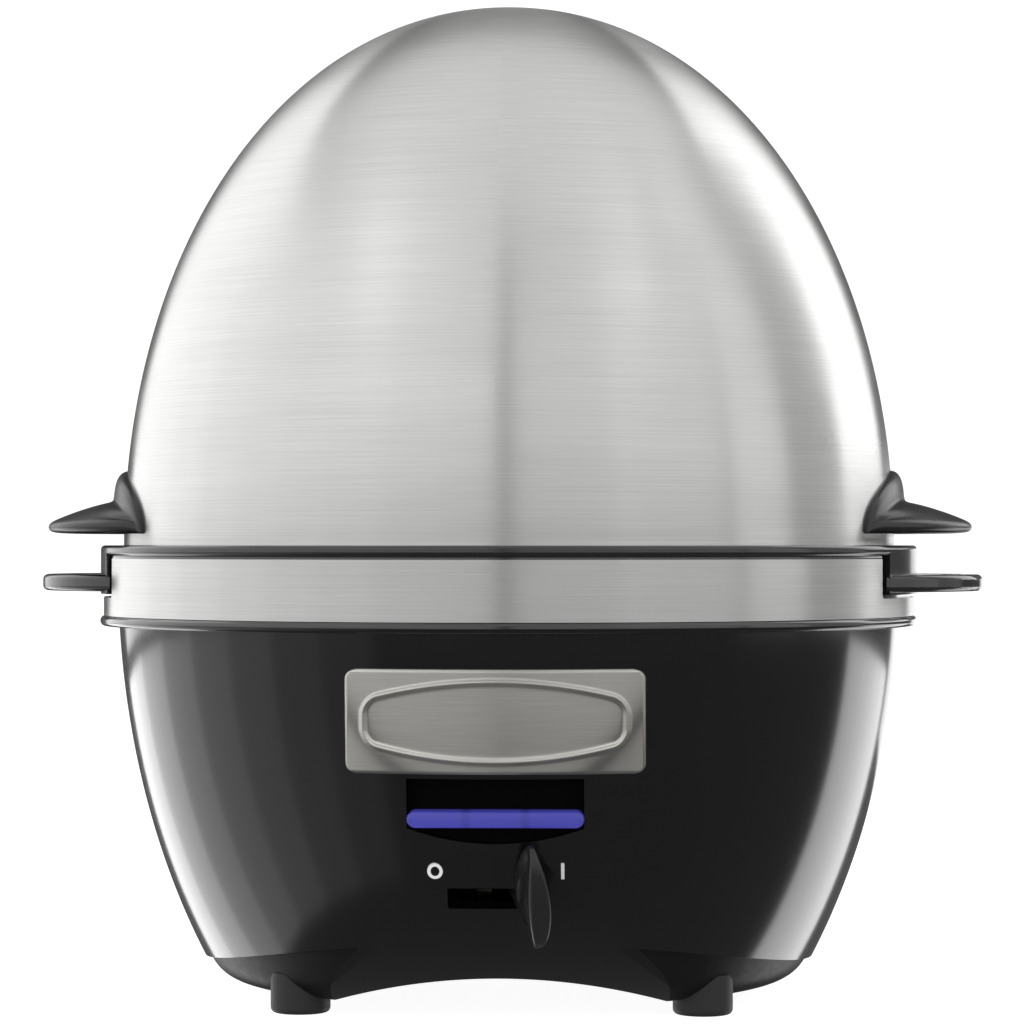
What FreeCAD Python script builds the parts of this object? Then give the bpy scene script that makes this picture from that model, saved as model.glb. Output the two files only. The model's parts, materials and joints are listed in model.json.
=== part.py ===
import FreeCAD, Part
import math
import os

# Ten-egg steam egg cooker: a bowl-shaped base with a heated water pan, a seven-seat egg
# rack whose ring closes the base, a three-seat upper rack and a tall dome lid.
# Millimetres. Origin on the floor below the lid's axis, +Z up, the front faces -Y.

Vector = FreeCAD.Vector
UP = Vector(0, 0, 1)
RIGHT = Vector(1, 0, 0)
BACK = Vector(0, 1, 0)

# Bowl-shaped body
body_radius = 91.1          # widest radius of the bowl's ellipse
seam_radius = 70.7          # bowl radius at the seam with the bottom cover
seam_z = 8.7                # seam height at the sides
seam_curve_radius = 290.0   # the seam rises towards front and back on this radius
shoulder_z = 85.0           # underside of the flange
equator_rise = 13.3         # the ellipse's widest level above the shoulder
body_wall = 2.6
flange_thickness = 2.5
flange_overhang = 0.9       # flange edge past the trim band
collar_growth = 2.5         # collar radius past the bowl's radius
collar_wall = 3.0
band_gauge = 0.7
band_height = 13.7          # from the flange's top to the collar's top
band_gap = 0.6              # the band stops this far under the rack ring

# Bottom cover and feet
cover_step = 1.3            # cover surface inside the bowl surface
cover_wall = 2.4
cover_floor_z = 3.4
arch_radius = 116.0         # arch across the underside, axis along Y
arch_top_z = 9.4
foot_radius = 6.65
foot_inset = 7.6            # foot axis inside the seam radius
foot_angle = 44.8
foot_pocket_z = 9.0
foot_boss_wall = 2.4
fit_gap = 0.15              # general clearance of a seated part

# Front panel
scoop_top_z = 46.0
scoop_mid_z = 25.0
scoop_mid_depth = 3.0
scoop_low_z = 8.0
scoop_low_depth = 11.8
panel_wall = 2.4
panel_top_z = 38.4
panel_foot_gap = 1.6        # the panel's low corners stop this far from the feet
slot_z = 28.4
slot_half_length = 10.4
slot_height = 5.4
mark_width = 3.3
mark_height = 3.7           # along the sloping face
mark_stroke = 0.7
mark_depth = 0.4
mark_rise = 6.9             # above the slot's middle, along the face
mark_left = -12.9
mark_right = 14.2

# Light bar
pocket_half_width = 18.8
pocket_top_z = 54.4
pocket_side_z = 43.7
pocket_low_z = 40.5
pocket_depth = 6.0
pocket_wall = 1.8
lens_length = 37.6
lens_height = 3.7
lens_z = 45.7
lens_recess = 1.0
led_board_half_length = 21.0
led_board_thickness = 1.2
led_pitch = 12.5
led_size = 3.5
led_height = 0.8

# Switch
switch_swing = 34.0         # whole travel between the two marks
switch_reach = 20.0         # axis behind the panel's face
lever_arm_height = 4.4
lever_arm_width = 4.0
paddle_height = 24.8
paddle_depth = 11.2
paddle_thickness = 3.8
paddle_rise = 5.4           # paddle centre above the slot's middle, along the panel
paddle_gap = 0.6            # clearance from the panel over the whole swing
shaft_radius = 2.0
shaft_clearance = 0.05
hub_radius = 5.5
bracket_gauge = 1.5

# Badge
badge_width = 63.6
badge_height = 22.1
badge_z = 66.5
badge_gauge = 1.2
badge_corner = 2.2
emboss_rise = 0.7
emboss_width = 1.3
emboss_margin = 3.4         # the raised line's flat ends inside the badge's ends
emboss_half_end = 4.2
emboss_half_crown = 8.9

# Egg rack
ring_overhang = 0.7         # ring edge past the trim band
ring_thickness = 2.4
ring_width = 8.5
lid_seat_depth = 1.2        # rebate that the lid's rim stands in
lid_seat_gap = 0.4
rack_clocking = 3.5         # turn of the rack about Z, the right grip towards the front
tab_half_angle = 21.3
tab_thickness = 2.1
tab_drop = 8.7
notch_gap = 2.8             # notch edge past the tab, at the sides
notch_floor_gap = 0.8
notch_corner = 1.2
grip_reach = 15.0           # middle of the grip's arc past the ring
grip_thickness = 3.8
grip_slot_half_angle = 38.0
grip_slot_depth = 1.2
grip_slot_width = 4.5
grip_edge_radius = 1.2
grip_drop = 8.1             # grip underside below the collar's top
deck_thickness = 2.0
seat_pitch = 54.0
seat_hole_radius = 16.5
seat_mouth_radius = 19.2
seat_wall = 1.6
seat_depth = 3.5            # below the deck
seat_rise = 4.0             # above the deck
steam_hole_radius = 5.0
outer_seats = 6

# Upper rack
upper_rise = 56.0           # deck underside above the lower deck's top
upper_seat_radius = 29.0
upper_deck_radius = 35.0
upper_leg_radius = 3.0
upper_seats = 3
post_height = 40.0
knob_radius = 8.0

# Lid
lid_inset = 5.3             # lid radius inside the rack ring's radius
lid_height = 126.6          # from the lid's rim to the top
lid_gauge = 0.8
lid_power = 2.07            # exponent of the dome's superellipse
hem_width = 2.2
hem_height = 2.0
vent_radius = 2.8
vent_offset = 8.0
lid_handle_half_angle = 25.9
lid_handle_reach = 18.4
lid_handle_lift = 3.8       # handle underside above the rim
lid_handle_tip = 3.2
lid_pad_height = 14.9
lid_pad_thickness = 2.7
lid_fin_height = 7.6
lid_fin_root_gap = 1.2      # the fin's upper face starts this far outside the pad
lid_fin_bulge_in = 6.6      # a point of the hollow upper face, in from the tip
lid_fin_bulge_height = 5.7
lid_fin_nose_length = 1.0
lid_fin_nose_lift = 0.3     # tip underside above the fin's underside
lid_fin_flat_in = 6.0       # the flat underside ends this far in from the tip
pad_depth = 8.0             # pad starts this far inside the lid's rim radius
screw_lift = 4.4            # lid screws above the handle's underside
handle_screw_radius = 1.9
handle_screw_angle = 11.0
handle_screw_length = 8.0
handle_washer_room = 1.4    # screw head to the inside of the dome

# Heating plate and what hangs under it
plate_gauge = 1.2
plate_depth = 8.5
plate_clear = 0.8           # rim edge inside the collar
plate_drop = 4.6            # rim top below the collar's top
rim_width = 5.0
seal_thickness = 1.0
ledge_thickness = 2.5
element_radius = 50.0
element_tube = 3.3
element_sweep = 300.0
shield_drop = 9.4           # shield top below the pan floor
shield_gauge = 0.6
post_circle = 60.0
post_radius = 4.5
post_angles = (90.0, 200.0, 340.0)
stud_radius = 2.0
screw_radius = 1.6
screw_head_radius = 3.0

# Inlet
gland_z = 30.0
gland_bore = 3.6
gland_radius = 6.0
gland_flange = 8.5
gland_flange_thickness = 2.5
gland_length = 13.0
gland_proud = 1.0           # outer flange past the bowl surface
gland_boss_wall = 2.5
gland_boss_depth = 9.0

# Derived levels
flange_top_z = shoulder_z + flange_thickness
collar_top_z = flange_top_z + band_height
equator_z = shoulder_z + equator_rise
bowl_depth = (equator_z - seam_z) / math.sqrt(1.0 - (seam_radius / body_radius) ** 2)
ring_top_z = collar_top_z + ring_thickness
lid_rim_z = ring_top_z - lid_seat_depth
lid_top_z = lid_rim_z + lid_height
plate_rim_z = collar_top_z - plate_drop
plate_floor_z = plate_rim_z - plate_depth
ledge_top_z = plate_rim_z - plate_gauge - seal_thickness
shield_z = plate_floor_z - shield_drop
post_top_z = shield_z - shield_gauge

# Derived radii
collar_radius = body_radius + collar_growth
collar_bore = collar_radius - collar_wall
band_radius = collar_radius + band_gauge
flange_radius = band_radius + flange_overhang
ring_radius = band_radius + ring_overhang
lid_radius = ring_radius - lid_inset
plate_radius = collar_bore - plate_clear
pan_radius = plate_radius - rim_width
foot_circle = seam_radius - foot_inset
notch_half_angle = tab_half_angle + math.degrees(notch_gap / band_radius)


def polar(radius, angle, z=0.0):
    turn = math.radians(angle)
    return Vector(radius * math.cos(turn), radius * math.sin(turn), z)


def cylinder(radius, length, base, axis=UP):
    return Part.makeCylinder(radius, length, base, axis)


def ring(outer, inner, low, high):
    tube = cylinder(outer, high - low, Vector(0, 0, low))
    return tube.cut(cylinder(inner, high - low, Vector(0, 0, low)))


def block(x0, x1, y0, y1, z0, z1):
    return Part.makeBox(x1 - x0, y1 - y0, z1 - z0, Vector(x0, y0, z0))


def polygon(points):
    return Part.makePolygon(points + [points[0]])


def spline(points):
    curve = Part.BSplineCurve()
    curve.interpolate(points)
    return curve.toShape()


def revolve(edges):
    """Full turn about Z, with the solid's faces pointing outwards whichever way the edges run."""
    solid = Part.Face(Part.Wire(edges)).revolve(Vector(0, 0, 0), UP, 360.0)
    if solid.Volume < 0:
        solid.reverse()
    return solid


def sector(inner, outer, low, high, middle, half_angle):
    corners = [Vector(inner, 0, low), Vector(outer, 0, low),
               Vector(outer, 0, high), Vector(inner, 0, high)]
    wedge = Part.Face(polygon(corners)).revolve(Vector(0, 0, 0), UP, 2.0 * half_angle)
    wedge.rotate(Vector(0, 0, 0), UP, middle - half_angle)
    return wedge


def turned(shape, angle):
    copy = shape.copy()
    copy.rotate(Vector(0, 0, 0), UP, angle)
    return copy


def rounded_plate(width, height, corner, z_middle, y_near, y_far):
    """Upright plate with rounded corners, seen from the front, from y_near to y_far."""
    plate = block(-width / 2, width / 2, y_near, y_far, z_middle - height / 2, z_middle + height / 2)
    upright = [edge for edge in plate.Edges if abs(edge.tangentAt(edge.FirstParameter).y) > 0.9]
    return plate.makeFillet(corner, upright)


def bowl_radius_at(z, inset=0.0):
    return body_radius * math.sqrt(1.0 - ((z - equator_z) / bowl_depth) ** 2) - inset


def cover_outline(inset):
    """Edges of the body's outer profile below the seam, from the axis outwards."""
    edge_radius = bowl_radius_at(seam_z, inset)
    floor = cover_floor_z + inset - cover_step
    floor_edge = Vector(edge_radius - 10.0, 0, floor)
    rim = Vector(edge_radius, 0, seam_z)
    middle = Vector(edge_radius - 2.7, 0, floor + 1.9)
    return [Part.makeLine(Vector(0, 0, floor), floor_edge),
            Part.Arc(floor_edge, middle, rim).toShape()]


def body_solid(inset, top_z, steps=9):
    """The bowl as a full solid, its surface moved inwards by the inset."""
    levels = [seam_z + (top_z - seam_z) * i / steps for i in range(steps + 1)]
    wall = spline([Vector(bowl_radius_at(z, inset), 0, z) for z in levels])
    top = Vector(0, 0, top_z)
    edges = cover_outline(inset)
    edges.append(wall)
    edges.append(Part.makeLine(Vector(bowl_radius_at(top_z, inset), 0, top_z), top))
    edges.append(Part.makeLine(top, edges[0].Vertexes[0].Point))
    return revolve(edges)


def seam_cylinder():
    """Everything above the seam lies inside this cylinder."""
    centre = Vector(-2 * body_radius, 0, seam_z + seam_curve_radius)
    return cylinder(seam_curve_radius, 4 * body_radius, centre, RIGHT)


def arch_cylinder(growth):
    centre = Vector(0, -2 * body_radius, arch_top_z - arch_radius)
    return cylinder(arch_radius + growth, 4 * body_radius, centre, BACK)


# Front scoop: the panel's face is straight across X and an arc in the YZ plane.
scoop_top = Vector(0, -bowl_radius_at(scoop_top_z), scoop_top_z)
scoop_mid = Vector(0, -bowl_radius_at(scoop_mid_z) + scoop_mid_depth, scoop_mid_z)
scoop_low = Vector(0, -bowl_radius_at(scoop_low_z) + scoop_low_depth, scoop_low_z)
scoop_circle = Part.Arc(scoop_top, scoop_mid, scoop_low).toShape().Curve
scoop_centre = scoop_circle.Center
scoop_radius = scoop_circle.Radius


def scoop_y(z, inset=0.0):
    return scoop_centre.y - math.sqrt((scoop_radius - inset) ** 2 - (z - scoop_centre.z) ** 2)


def scoop_band(outer, inner_shift, top_z):
    """Slab in front of the arc that is moved inwards by inner_shift, out to y = -outer."""
    low_z = cover_floor_z - 1.0
    middle_z = (top_z + low_z) / 2
    start = Vector(0, scoop_y(top_z, inner_shift), top_z)
    middle = Vector(0, scoop_y(middle_z, inner_shift), middle_z)
    end = Vector(0, scoop_y(low_z, inner_shift), low_z)
    corners = [end, Vector(0, -outer, low_z), Vector(0, -outer, top_z), start]
    edges = [Part.Arc(start, middle, end).toShape()]
    for first, second in zip(corners, corners[1:]):
        edges.append(Part.makeLine(first, second))
    slab = Part.Face(Part.Wire(edges)).extrude(Vector(2 * body_radius, 0, 0))
    slab.translate(Vector(-body_radius, 0, 0))
    return slab


def scoop_cut():
    return scoop_band(1.5 * body_radius, 0.0, scoop_top_z)


def panel_outline():
    """Prism along Y, as wide at each level as the scoop is where it meets the body."""
    levels = [seam_z, 14.0, 20.0, 27.0, 33.0, panel_top_z]
    side = []
    for z in levels:
        half = math.sqrt(bowl_radius_at(z) ** 2 - scoop_y(z) ** 2)
        side.append(Vector(half + fit_gap, 0, z))
    low_z = cover_floor_z - 1.0
    foot = Vector(foot_places(0.0)[0].x - foot_radius - panel_foot_gap, 0, low_z)
    side[0].x = min(side[0].x, foot.x)
    right = spline([foot] + side)
    left = spline([Vector(-point.x, 0, point.z) for point in [foot] + side])
    top = Part.makeLine(side[-1], Vector(-side[-1].x, 0, side[-1].z))
    low = Part.makeLine(foot, Vector(-foot.x, 0, foot.z))
    outline = Part.Face(Part.Wire([right, top, left, low])).extrude(Vector(0, -1.5 * body_radius, 0))
    return outline


def panel_body():
    """The scooped panel with no holes: a slab of even thickness behind the scoop's face."""
    slab = scoop_band(1.5 * body_radius, panel_wall, panel_top_z)
    panel = slab.cut(scoop_cut()).common(panel_outline())
    above = panel.common(body_solid(0.0, shoulder_z)).common(seam_cylinder())
    below = panel.common(body_solid(cover_step, shoulder_z)).cut(seam_cylinder())
    return above.fuse(below).cut(arch_cylinder(0.0)).removeSplitter()


# Switch frame: its origin is the slot's middle on the panel's face and its -Y leaves the
# panel squarely, so the lever swings past the panel at an even distance.
slot_centre = Vector(0, scoop_y(slot_z), slot_z)
panel_tilt = math.degrees(math.asin((scoop_centre.z - slot_z) / scoop_radius))


def in_switch_frame(shape):
    placed = shape.copy()
    placed.rotate(Vector(0, 0, 0), RIGHT, panel_tilt)
    placed.translate(slot_centre)
    return placed


def switch_turned(shape):
    """The lever rests against the right-hand mark, half the swing from the middle."""
    placed = shape.copy()
    placed.rotate(Vector(0, switch_reach, 0), UP, switch_swing / 2)
    return in_switch_frame(placed)


def panel_boss_places():
    return [Vector(side * 12.0, 0, 5.6) for side in (-1, 1)]


boss_face_y = 6.6           # switch frame: where the bracket meets the panel's bosses
plate_low = lever_arm_height / 2 + 2.6
upper_plate_z = lever_arm_height / 2 + 2.4


def screw(length, radius, head_radius, head_height):
    """Screw along +Z from the underside of its head, which lies below z = 0."""
    head = cylinder(head_radius, head_height, Vector(0, 0, -head_height))
    shank = cylinder(radius, length, Vector(0, 0, 0))
    cross = block(-head_radius * 0.6, head_radius * 0.6, -0.35, 0.35, -head_height, -head_height * 0.5)
    return head.fuse(shank).cut(cross).cut(turned(cross, 90.0)).removeSplitter()


def panel_boss_solids(growth):
    start_y = panel_wall * 0.6
    bosses = []
    for place in panel_boss_places():
        boss = cylinder(2.4 + growth, boss_face_y - start_y + growth, Vector(place.x, start_y, place.z), BACK)
        bosses.append(in_switch_frame(boss))
    return bosses


def panel_screw_solids():
    solids = []
    for place in panel_boss_places():
        fixing = screw(boss_face_y - panel_wall + bracket_gauge - 0.4, 1.2, 2.3, 1.6)
        fixing.rotate(Vector(0, 0, 0), RIGHT, 90.0)
        fixing.translate(Vector(place.x, boss_face_y + bracket_gauge, place.z))
        solids.append(in_switch_frame(fixing))
    return solids


def control_panel():
    panel = panel_body()
    slot = rounded_plate(2 * slot_half_length, slot_height, 0.6, 0.0, -3.0, 3.0 * panel_wall)
    panel = panel.cut(in_switch_frame(slot))
    panel = panel.fuse(panel_boss_solids(0.0))
    for fixing in panel_screw_solids():
        panel = panel.cut(fixing)
    for mark in mark_solids():
        panel = panel.cut(mark)
    return panel.removeSplitter()


def mark_outline(width, height, x_middle):
    ellipse = Part.Ellipse(Vector(x_middle, -2.0, mark_rise), height / 2, width / 2)
    ellipse.Axis = BACK
    ellipse.XAxis = UP
    return Part.Face(Part.Wire(ellipse.toShape())).extrude(BACK * 4.0)


def mark_solids():
    """Inlaid O and I beside the slot, let into the panel's face."""
    outer = mark_outline(mark_width, mark_height, mark_left)
    inner = mark_outline(mark_width - 2 * mark_stroke, mark_height - 2 * mark_stroke, mark_left)
    low = mark_rise - mark_height / 2
    bar = block(mark_right - mark_stroke / 2, mark_right + mark_stroke / 2, -2.0, 2.0, low, low + mark_height)
    skin = scoop_band(1.5 * body_radius, mark_depth, panel_top_z + 3.0).cut(scoop_cut())
    return [in_switch_frame(outer.cut(inner)).common(skin), in_switch_frame(bar).common(skin)]


def pocket_outline(growth):
    """D-shaped window, straight above and an arc below, as a face in the XZ plane."""
    half = pocket_half_width + growth
    top = pocket_top_z + growth
    left = Vector(-half, 0, pocket_side_z)
    right = Vector(half, 0, pocket_side_z)
    bottom = Vector(0, 0, pocket_low_z - growth)
    edges = [Part.Arc(left, bottom, right).toShape(),
             Part.makeLine(right, Vector(half, 0, top)),
             Part.makeLine(Vector(half, 0, top), Vector(-half, 0, top)),
             Part.makeLine(Vector(-half, 0, top), left)]
    return Part.Face(Part.Wire(edges))


def pocket_back_y():
    return -bowl_radius_at(lens_z) + pocket_depth


def pocket_prism(growth, back_y):
    window = pocket_outline(growth)
    window.translate(Vector(0, back_y, 0))
    return window.extrude(Vector(0, -1.5 * body_radius, 0))


def led_lens():
    front_y = -bowl_radius_at(lens_z) + lens_recess
    back_y = pocket_back_y() + pocket_wall
    return rounded_plate(lens_length, lens_height, lens_height / 2 - 0.02, lens_z, front_y, back_y)


def led_board():
    back_y = pocket_back_y() + pocket_wall
    rear_y = back_y + led_board_thickness
    board = block(-led_board_half_length, led_board_half_length, back_y, rear_y, lens_z - 2.4, lens_z + 3.4)
    for x in (-led_pitch, 0.0, led_pitch):
        board = board.fuse(block(x - led_size / 2, x + led_size / 2, rear_y, rear_y + led_height,
                                 lens_z - 0.4 * led_size, lens_z + 0.4 * led_size))
    return board.removeSplitter()


def lid_screw_height():
    return lid_rim_z + lid_handle_lift + screw_lift


def post_places(z):
    return [polar(post_circle, angle, z) for angle in post_angles]


def foot_places(z):
    return [polar(foot_circle, foot_angle + 90.0 * i, z) for i in range(4)]


cover_boss_top_z = 22.0
cover_screw_head_z = 12.5
cover_screw_length = cover_boss_top_z - cover_screw_head_z + 9.0


def base_housing():
    shell = body_solid(0.0, shoulder_z + 1.0).cut(body_solid(body_wall, shoulder_z + 2.0))
    shell = shell.common(seam_cylinder()).cut(scoop_cut())
    flange = ring(flange_radius, bowl_radius_at(shoulder_z, body_wall), shoulder_z, flange_top_z)
    rim_edges = [e for e in flange.Edges if abs(e.BoundBox.XMax - flange_radius) < 0.01
                 and e.BoundBox.ZLength < 0.01]
    flange = flange.makeFillet(flange_thickness * 0.42, rim_edges)
    collar = ring(collar_radius, collar_bore, flange_top_z - 0.5, collar_top_z)
    flange_web = ring(collar_radius, collar_bore - 4.0, shoulder_z, flange_top_z)
    ledge_bore = pan_radius + 2.5
    ledge = ring(collar_bore + 0.5, ledge_bore, ledge_top_z - ledge_thickness, ledge_top_z)
    housing = shell.fuse([flange, flange_web, collar, ledge])
    for middle in (rack_clocking * -1.0, 180.0 - rack_clocking):
        housing = housing.cut(sector(collar_radius - tab_thickness + 0.2, collar_radius + 2.0,
                                     notch_bottom_z() - 0.5, collar_top_z + 1.0, middle, notch_half_angle))
    inside = body_solid(body_wall * 0.5, shoulder_z + 1.0)
    for place in post_places(cover_boss_top_z):
        post = cylinder(post_radius, post_top_z - cover_boss_top_z, place)
        outward = Vector(place.x, place.y, 0).normalize()
        rib = block(0.0, body_radius - post_circle, -1.2, 1.2, cover_boss_top_z, post_top_z)
        rib.rotate(Vector(0, 0, 0), UP, math.degrees(math.atan2(outward.y, outward.x)))
        rib.translate(Vector(place.x, place.y, 0))
        housing = housing.fuse([post, rib.common(inside)])
    boss_y = bowl_radius_at(gland_z) - gland_boss_depth
    boss = cylinder(gland_flange + gland_boss_wall, 2.0 * gland_boss_depth, Vector(0, boss_y, gland_z), BACK)
    housing = housing.fuse(boss.common(body_solid(0.0, shoulder_z)).common(seam_cylinder()))
    frame = pocket_prism(pocket_wall, pocket_back_y() + pocket_wall).common(body_solid(0.0, shoulder_z))
    housing = housing.fuse(frame.cut(scoop_cut()))
    housing = housing.cut(pocket_prism(0.0, pocket_back_y())).cut(led_lens())
    housing = housing.cut(panel_body())
    seated = [gland_reel(), gland_spot_face()] + cover_screw_solids() + plate_stud_solids() + mark_solids()
    for other in seated + panel_boss_solids(fit_gap):
        housing = housing.cut(other)
    return housing.removeSplitter()


def notch_bottom_z():
    return collar_top_z - tab_drop - notch_floor_gap


def trim_band():
    band = ring(band_radius, collar_radius, flange_top_z, collar_top_z - band_gap)
    for middle in (rack_clocking * -1.0, 180.0 - rack_clocking):
        band = band.cut(sector(collar_radius - 2.0, band_radius + 2.0, notch_bottom_z(),
                               collar_top_z + 1.0, middle, notch_half_angle))
    corners = [e for e in band.Edges if abs(e.BoundBox.ZMax - notch_bottom_z()) < 0.01
               and e.BoundBox.ZLength < 0.01 and e.Length < 2.0 * band_gauge]
    return band.makeFillet(notch_corner, corners)


def bottom_cover():
    outer = body_solid(cover_step, shoulder_z).cut(arch_cylinder(0.0))
    inner = body_solid(cover_step + cover_wall, shoulder_z).cut(arch_cylinder(cover_wall))
    cover = outer.cut(inner)
    for place in foot_places(0.0):
        boss = cylinder(foot_radius + foot_boss_wall, foot_pocket_z + 6.0, place)
        cover = cover.fuse(boss.common(outer))
    for place in post_places(0.0):
        boss = cylinder(post_radius, cover_boss_top_z, place)
        cover = cover.fuse(boss.common(outer))
    cover = cover.fuse(board_boss_solids())
    cover = cover.cut(seam_cylinder().cut(cover_boss_zone()))
    cover = cover.cut(panel_body()).cut(scoop_cut())
    for place in foot_places(-1.0):
        cover = cover.cut(cylinder(foot_radius, foot_pocket_z + 1.0, place))
    for place in post_places(0.0):
        cover = cover.cut(cylinder(screw_head_radius + 0.3, cover_screw_head_z, place))
    for other in foot_screw_solids() + cover_screw_solids() + board_screw_solids():
        cover = cover.cut(other)
    for row in range(-2, 3):
        cover = cover.cut(block(-14.0, 14.0, 30.0 + 5.0 * row, 32.0 + 5.0 * row, 0.0, 13.0))
    return cover.removeSplitter()


def cover_boss_zone():
    """Bosses inside the cover may stand above the seam, the outer skin may not."""
    return cylinder(bowl_radius_at(seam_z, body_wall + cover_step + 0.4), 60.0, Vector(0, 0, 0))


def feet():
    solids = []
    for place in foot_places(0.0):
        foot = cylinder(foot_radius, foot_pocket_z, place)
        low = [e for e in foot.Edges if e.BoundBox.ZMax < 0.01 and e.BoundBox.ZLength < 0.01]
        foot = foot.makeFillet(1.2, low)
        foot = foot.cut(cylinder(screw_head_radius + 0.4, 3.6, place))
        solids.append(foot)
    for fixing in foot_screw_solids():
        solids = [foot.cut(fixing) for foot in solids]
    return Part.makeCompound(solids)


def foot_screw_solids():
    solids = []
    for place in foot_places(3.6):
        fixing = screw(10.0, screw_radius, screw_head_radius, 1.8)
        fixing.translate(place)
        solids.append(fixing)
    return solids


def cover_screw_solids():
    solids = []
    for place in post_places(cover_screw_head_z):
        fixing = screw(cover_screw_length, screw_radius, screw_head_radius, 1.8)
        fixing.translate(place)
        solids.append(fixing)
    return solids


def gland_reel():
    """Inlet bush seated in the rear wall, with a flange inside and outside, before boring."""
    outer_y = bowl_radius_at(gland_z) + gland_proud
    inner_y = outer_y - gland_length
    gland = cylinder(gland_radius, gland_length, Vector(0, inner_y, gland_z), BACK)
    outer_flange = cylinder(gland_flange, gland_flange_thickness,
                            Vector(0, outer_y - gland_flange_thickness, gland_z), BACK)
    inner_flange = cylinder(gland_flange, gland_flange_thickness, Vector(0, inner_y, gland_z), BACK)
    return gland.fuse([outer_flange, inner_flange])


def gland_spot_face():
    """Flat seat for the outer flange, clear of the bowl all the way out."""
    seat_y = bowl_radius_at(gland_z) + gland_proud - gland_flange_thickness
    return cylinder(gland_flange, 4.0 * gland_flange_thickness, Vector(0, seat_y, gland_z), BACK)


def cord_gland():
    inner_y = bowl_radius_at(gland_z) + gland_proud - gland_length
    bore = cylinder(gland_bore, gland_length, Vector(0, inner_y, gland_z), BACK)
    return gland_reel().cut(bore).removeSplitter()


def heating_plate():
    """Pressed water pan: flat rim, sloped wall, floor falling slightly to the middle."""
    top = [Vector(0, 0, plate_floor_z - 0.8), Vector(pan_radius - 8.0, 0, plate_floor_z),
           Vector(pan_radius - 0.5, 0, plate_rim_z), Vector(plate_radius, 0, plate_rim_z)]
    low = [Vector(p.x, 0, p.z - plate_gauge) for p in top]
    low[2] = Vector(pan_radius - 0.5 - plate_gauge * 0.5, 0, plate_rim_z - plate_gauge)
    return Part.Face(polygon(top + low[::-1])).revolve(Vector(0, 0, 0), UP, 360.0)


def plate_seal():
    return ring(plate_radius, pan_radius + 2.5, ledge_top_z, plate_rim_z - plate_gauge)


def plate_underside_z(radius):
    slope = 0.8 / (pan_radius - 8.0)
    return plate_floor_z - 0.8 + slope * radius - plate_gauge


def plate_stud_solids():
    """Weld studs from the pan's underside down through the shield and the posts' heads."""
    solids = []
    for place in post_places(post_top_z - 9.0):
        top = plate_underside_z(post_circle - stud_radius)
        solids.append(cylinder(stud_radius, top - place.z, place))
    return solids


def stud_nut_solids():
    """Hexagon nuts that clamp the shield onto the posts."""
    solids = []
    for place in post_places(shield_z):
        corners = [place + polar(3.9, 60.0 * i) for i in range(7)]
        nut = Part.Face(Part.makePolygon(corners)).extrude(Vector(0, 0, 3.0))
        solids.append(nut.cut(cylinder(stud_radius, 4.0, place)))
    return solids


def heating_element():
    """Ring-shaped sheathed element, bedded on the pan, with two legs turned down."""
    top_z = plate_underside_z(element_radius - element_tube)
    centre_z = top_z - element_tube
    start = (360.0 - element_sweep) / 2
    tube = Part.makeTorus(element_radius, element_tube, Vector(0, 0, 0), UP, -180, 180, element_sweep)
    tube.rotate(Vector(0, 0, 0), UP, start - 90.0)
    tube.translate(Vector(0, 0, centre_z))
    leg_length = centre_z - shield_z + 9.0
    for angle in (start - 90.0, start - 90.0 + element_sweep):
        end = polar(element_radius, angle, centre_z)
        knee = Part.makeSphere(element_tube, end)
        leg = cylinder(element_tube, leg_length, end - UP * leg_length)
        pin = cylinder(1.2, 7.0, end - UP * (leg_length + 7.0))
        tube = tube.fuse([knee, leg, pin])
    return tube.removeSplitter()


def element_leg_places(z):
    start = (360.0 - element_sweep) / 2
    return [polar(element_radius, start - 90.0, z), polar(element_radius, start - 90.0 + element_sweep, z)]


def heat_shield():
    edge = bowl_radius_at(shield_z, body_wall) - 3.0
    shield = cylinder(edge, shield_gauge, Vector(0, 0, shield_z - shield_gauge))
    lip = ring(edge, edge - shield_gauge, shield_z - shield_gauge, shield_z + 2.0)
    shield = shield.fuse(lip)
    for place in element_leg_places(shield_z - 2.0):
        shield = shield.cut(cylinder(element_tube + 1.2, 5.0, place))
    for stud in plate_stud_solids():
        shield = shield.cut(stud)
    shield = shield.cut(cylinder(thermostat_radius + 1.0, 5.0, Vector(0, 0, shield_z - 2.0)))
    shield = shield.cut(block(-5.0, 5.0, -clip_reach - 1.0, clip_reach + 1.0, shield_z - 2.0, shield_z + 1.0))
    return shield.removeSplitter()


thermostat_radius = 8.0
thermostat_height = 11.0
clip_reach = 16.0


def thermostat():
    """Snap-disc thermostat pressed against the pan's middle, terminals at the sides."""
    top_z = plate_underside_z(0.0)
    body = cylinder(thermostat_radius, thermostat_height, Vector(0, 0, top_z - thermostat_height))
    for side in (-1, 1):
        inner = side * (thermostat_radius - 1.0)
        outer = side * (thermostat_radius + 5.0)
        low = top_z - thermostat_height
        body = body.fuse(block(min(inner, outer), max(inner, outer), -3.1, 3.1, low, low + 0.8))
    return body.removeSplitter()


def thermostat_clip():
    """Steel strap under the thermostat, welded to the pan on both sides of it."""
    low = plate_underside_z(0.0) - thermostat_height - 1.0
    reach = clip_reach
    top = plate_underside_z(reach)
    strap = block(-4.0, 4.0, -reach, reach, low, low + 1.0)
    for side in (-1, 1):
        inner = side * (reach - 1.0)
        outer = side * reach
        strap = strap.fuse(block(-4.0, 4.0, min(inner, outer), max(inner, outer), low, top - 0.02))
    return strap.removeSplitter()


def thermal_fuse():
    """Cylinder fuse in its sleeve, lying against the pan inside the element ring."""
    radius = 2.0
    place = Vector(24.0, -9.0, plate_underside_z(22.0) - radius)
    fuse = cylinder(radius, 18.0, place, BACK)
    return fuse


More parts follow.
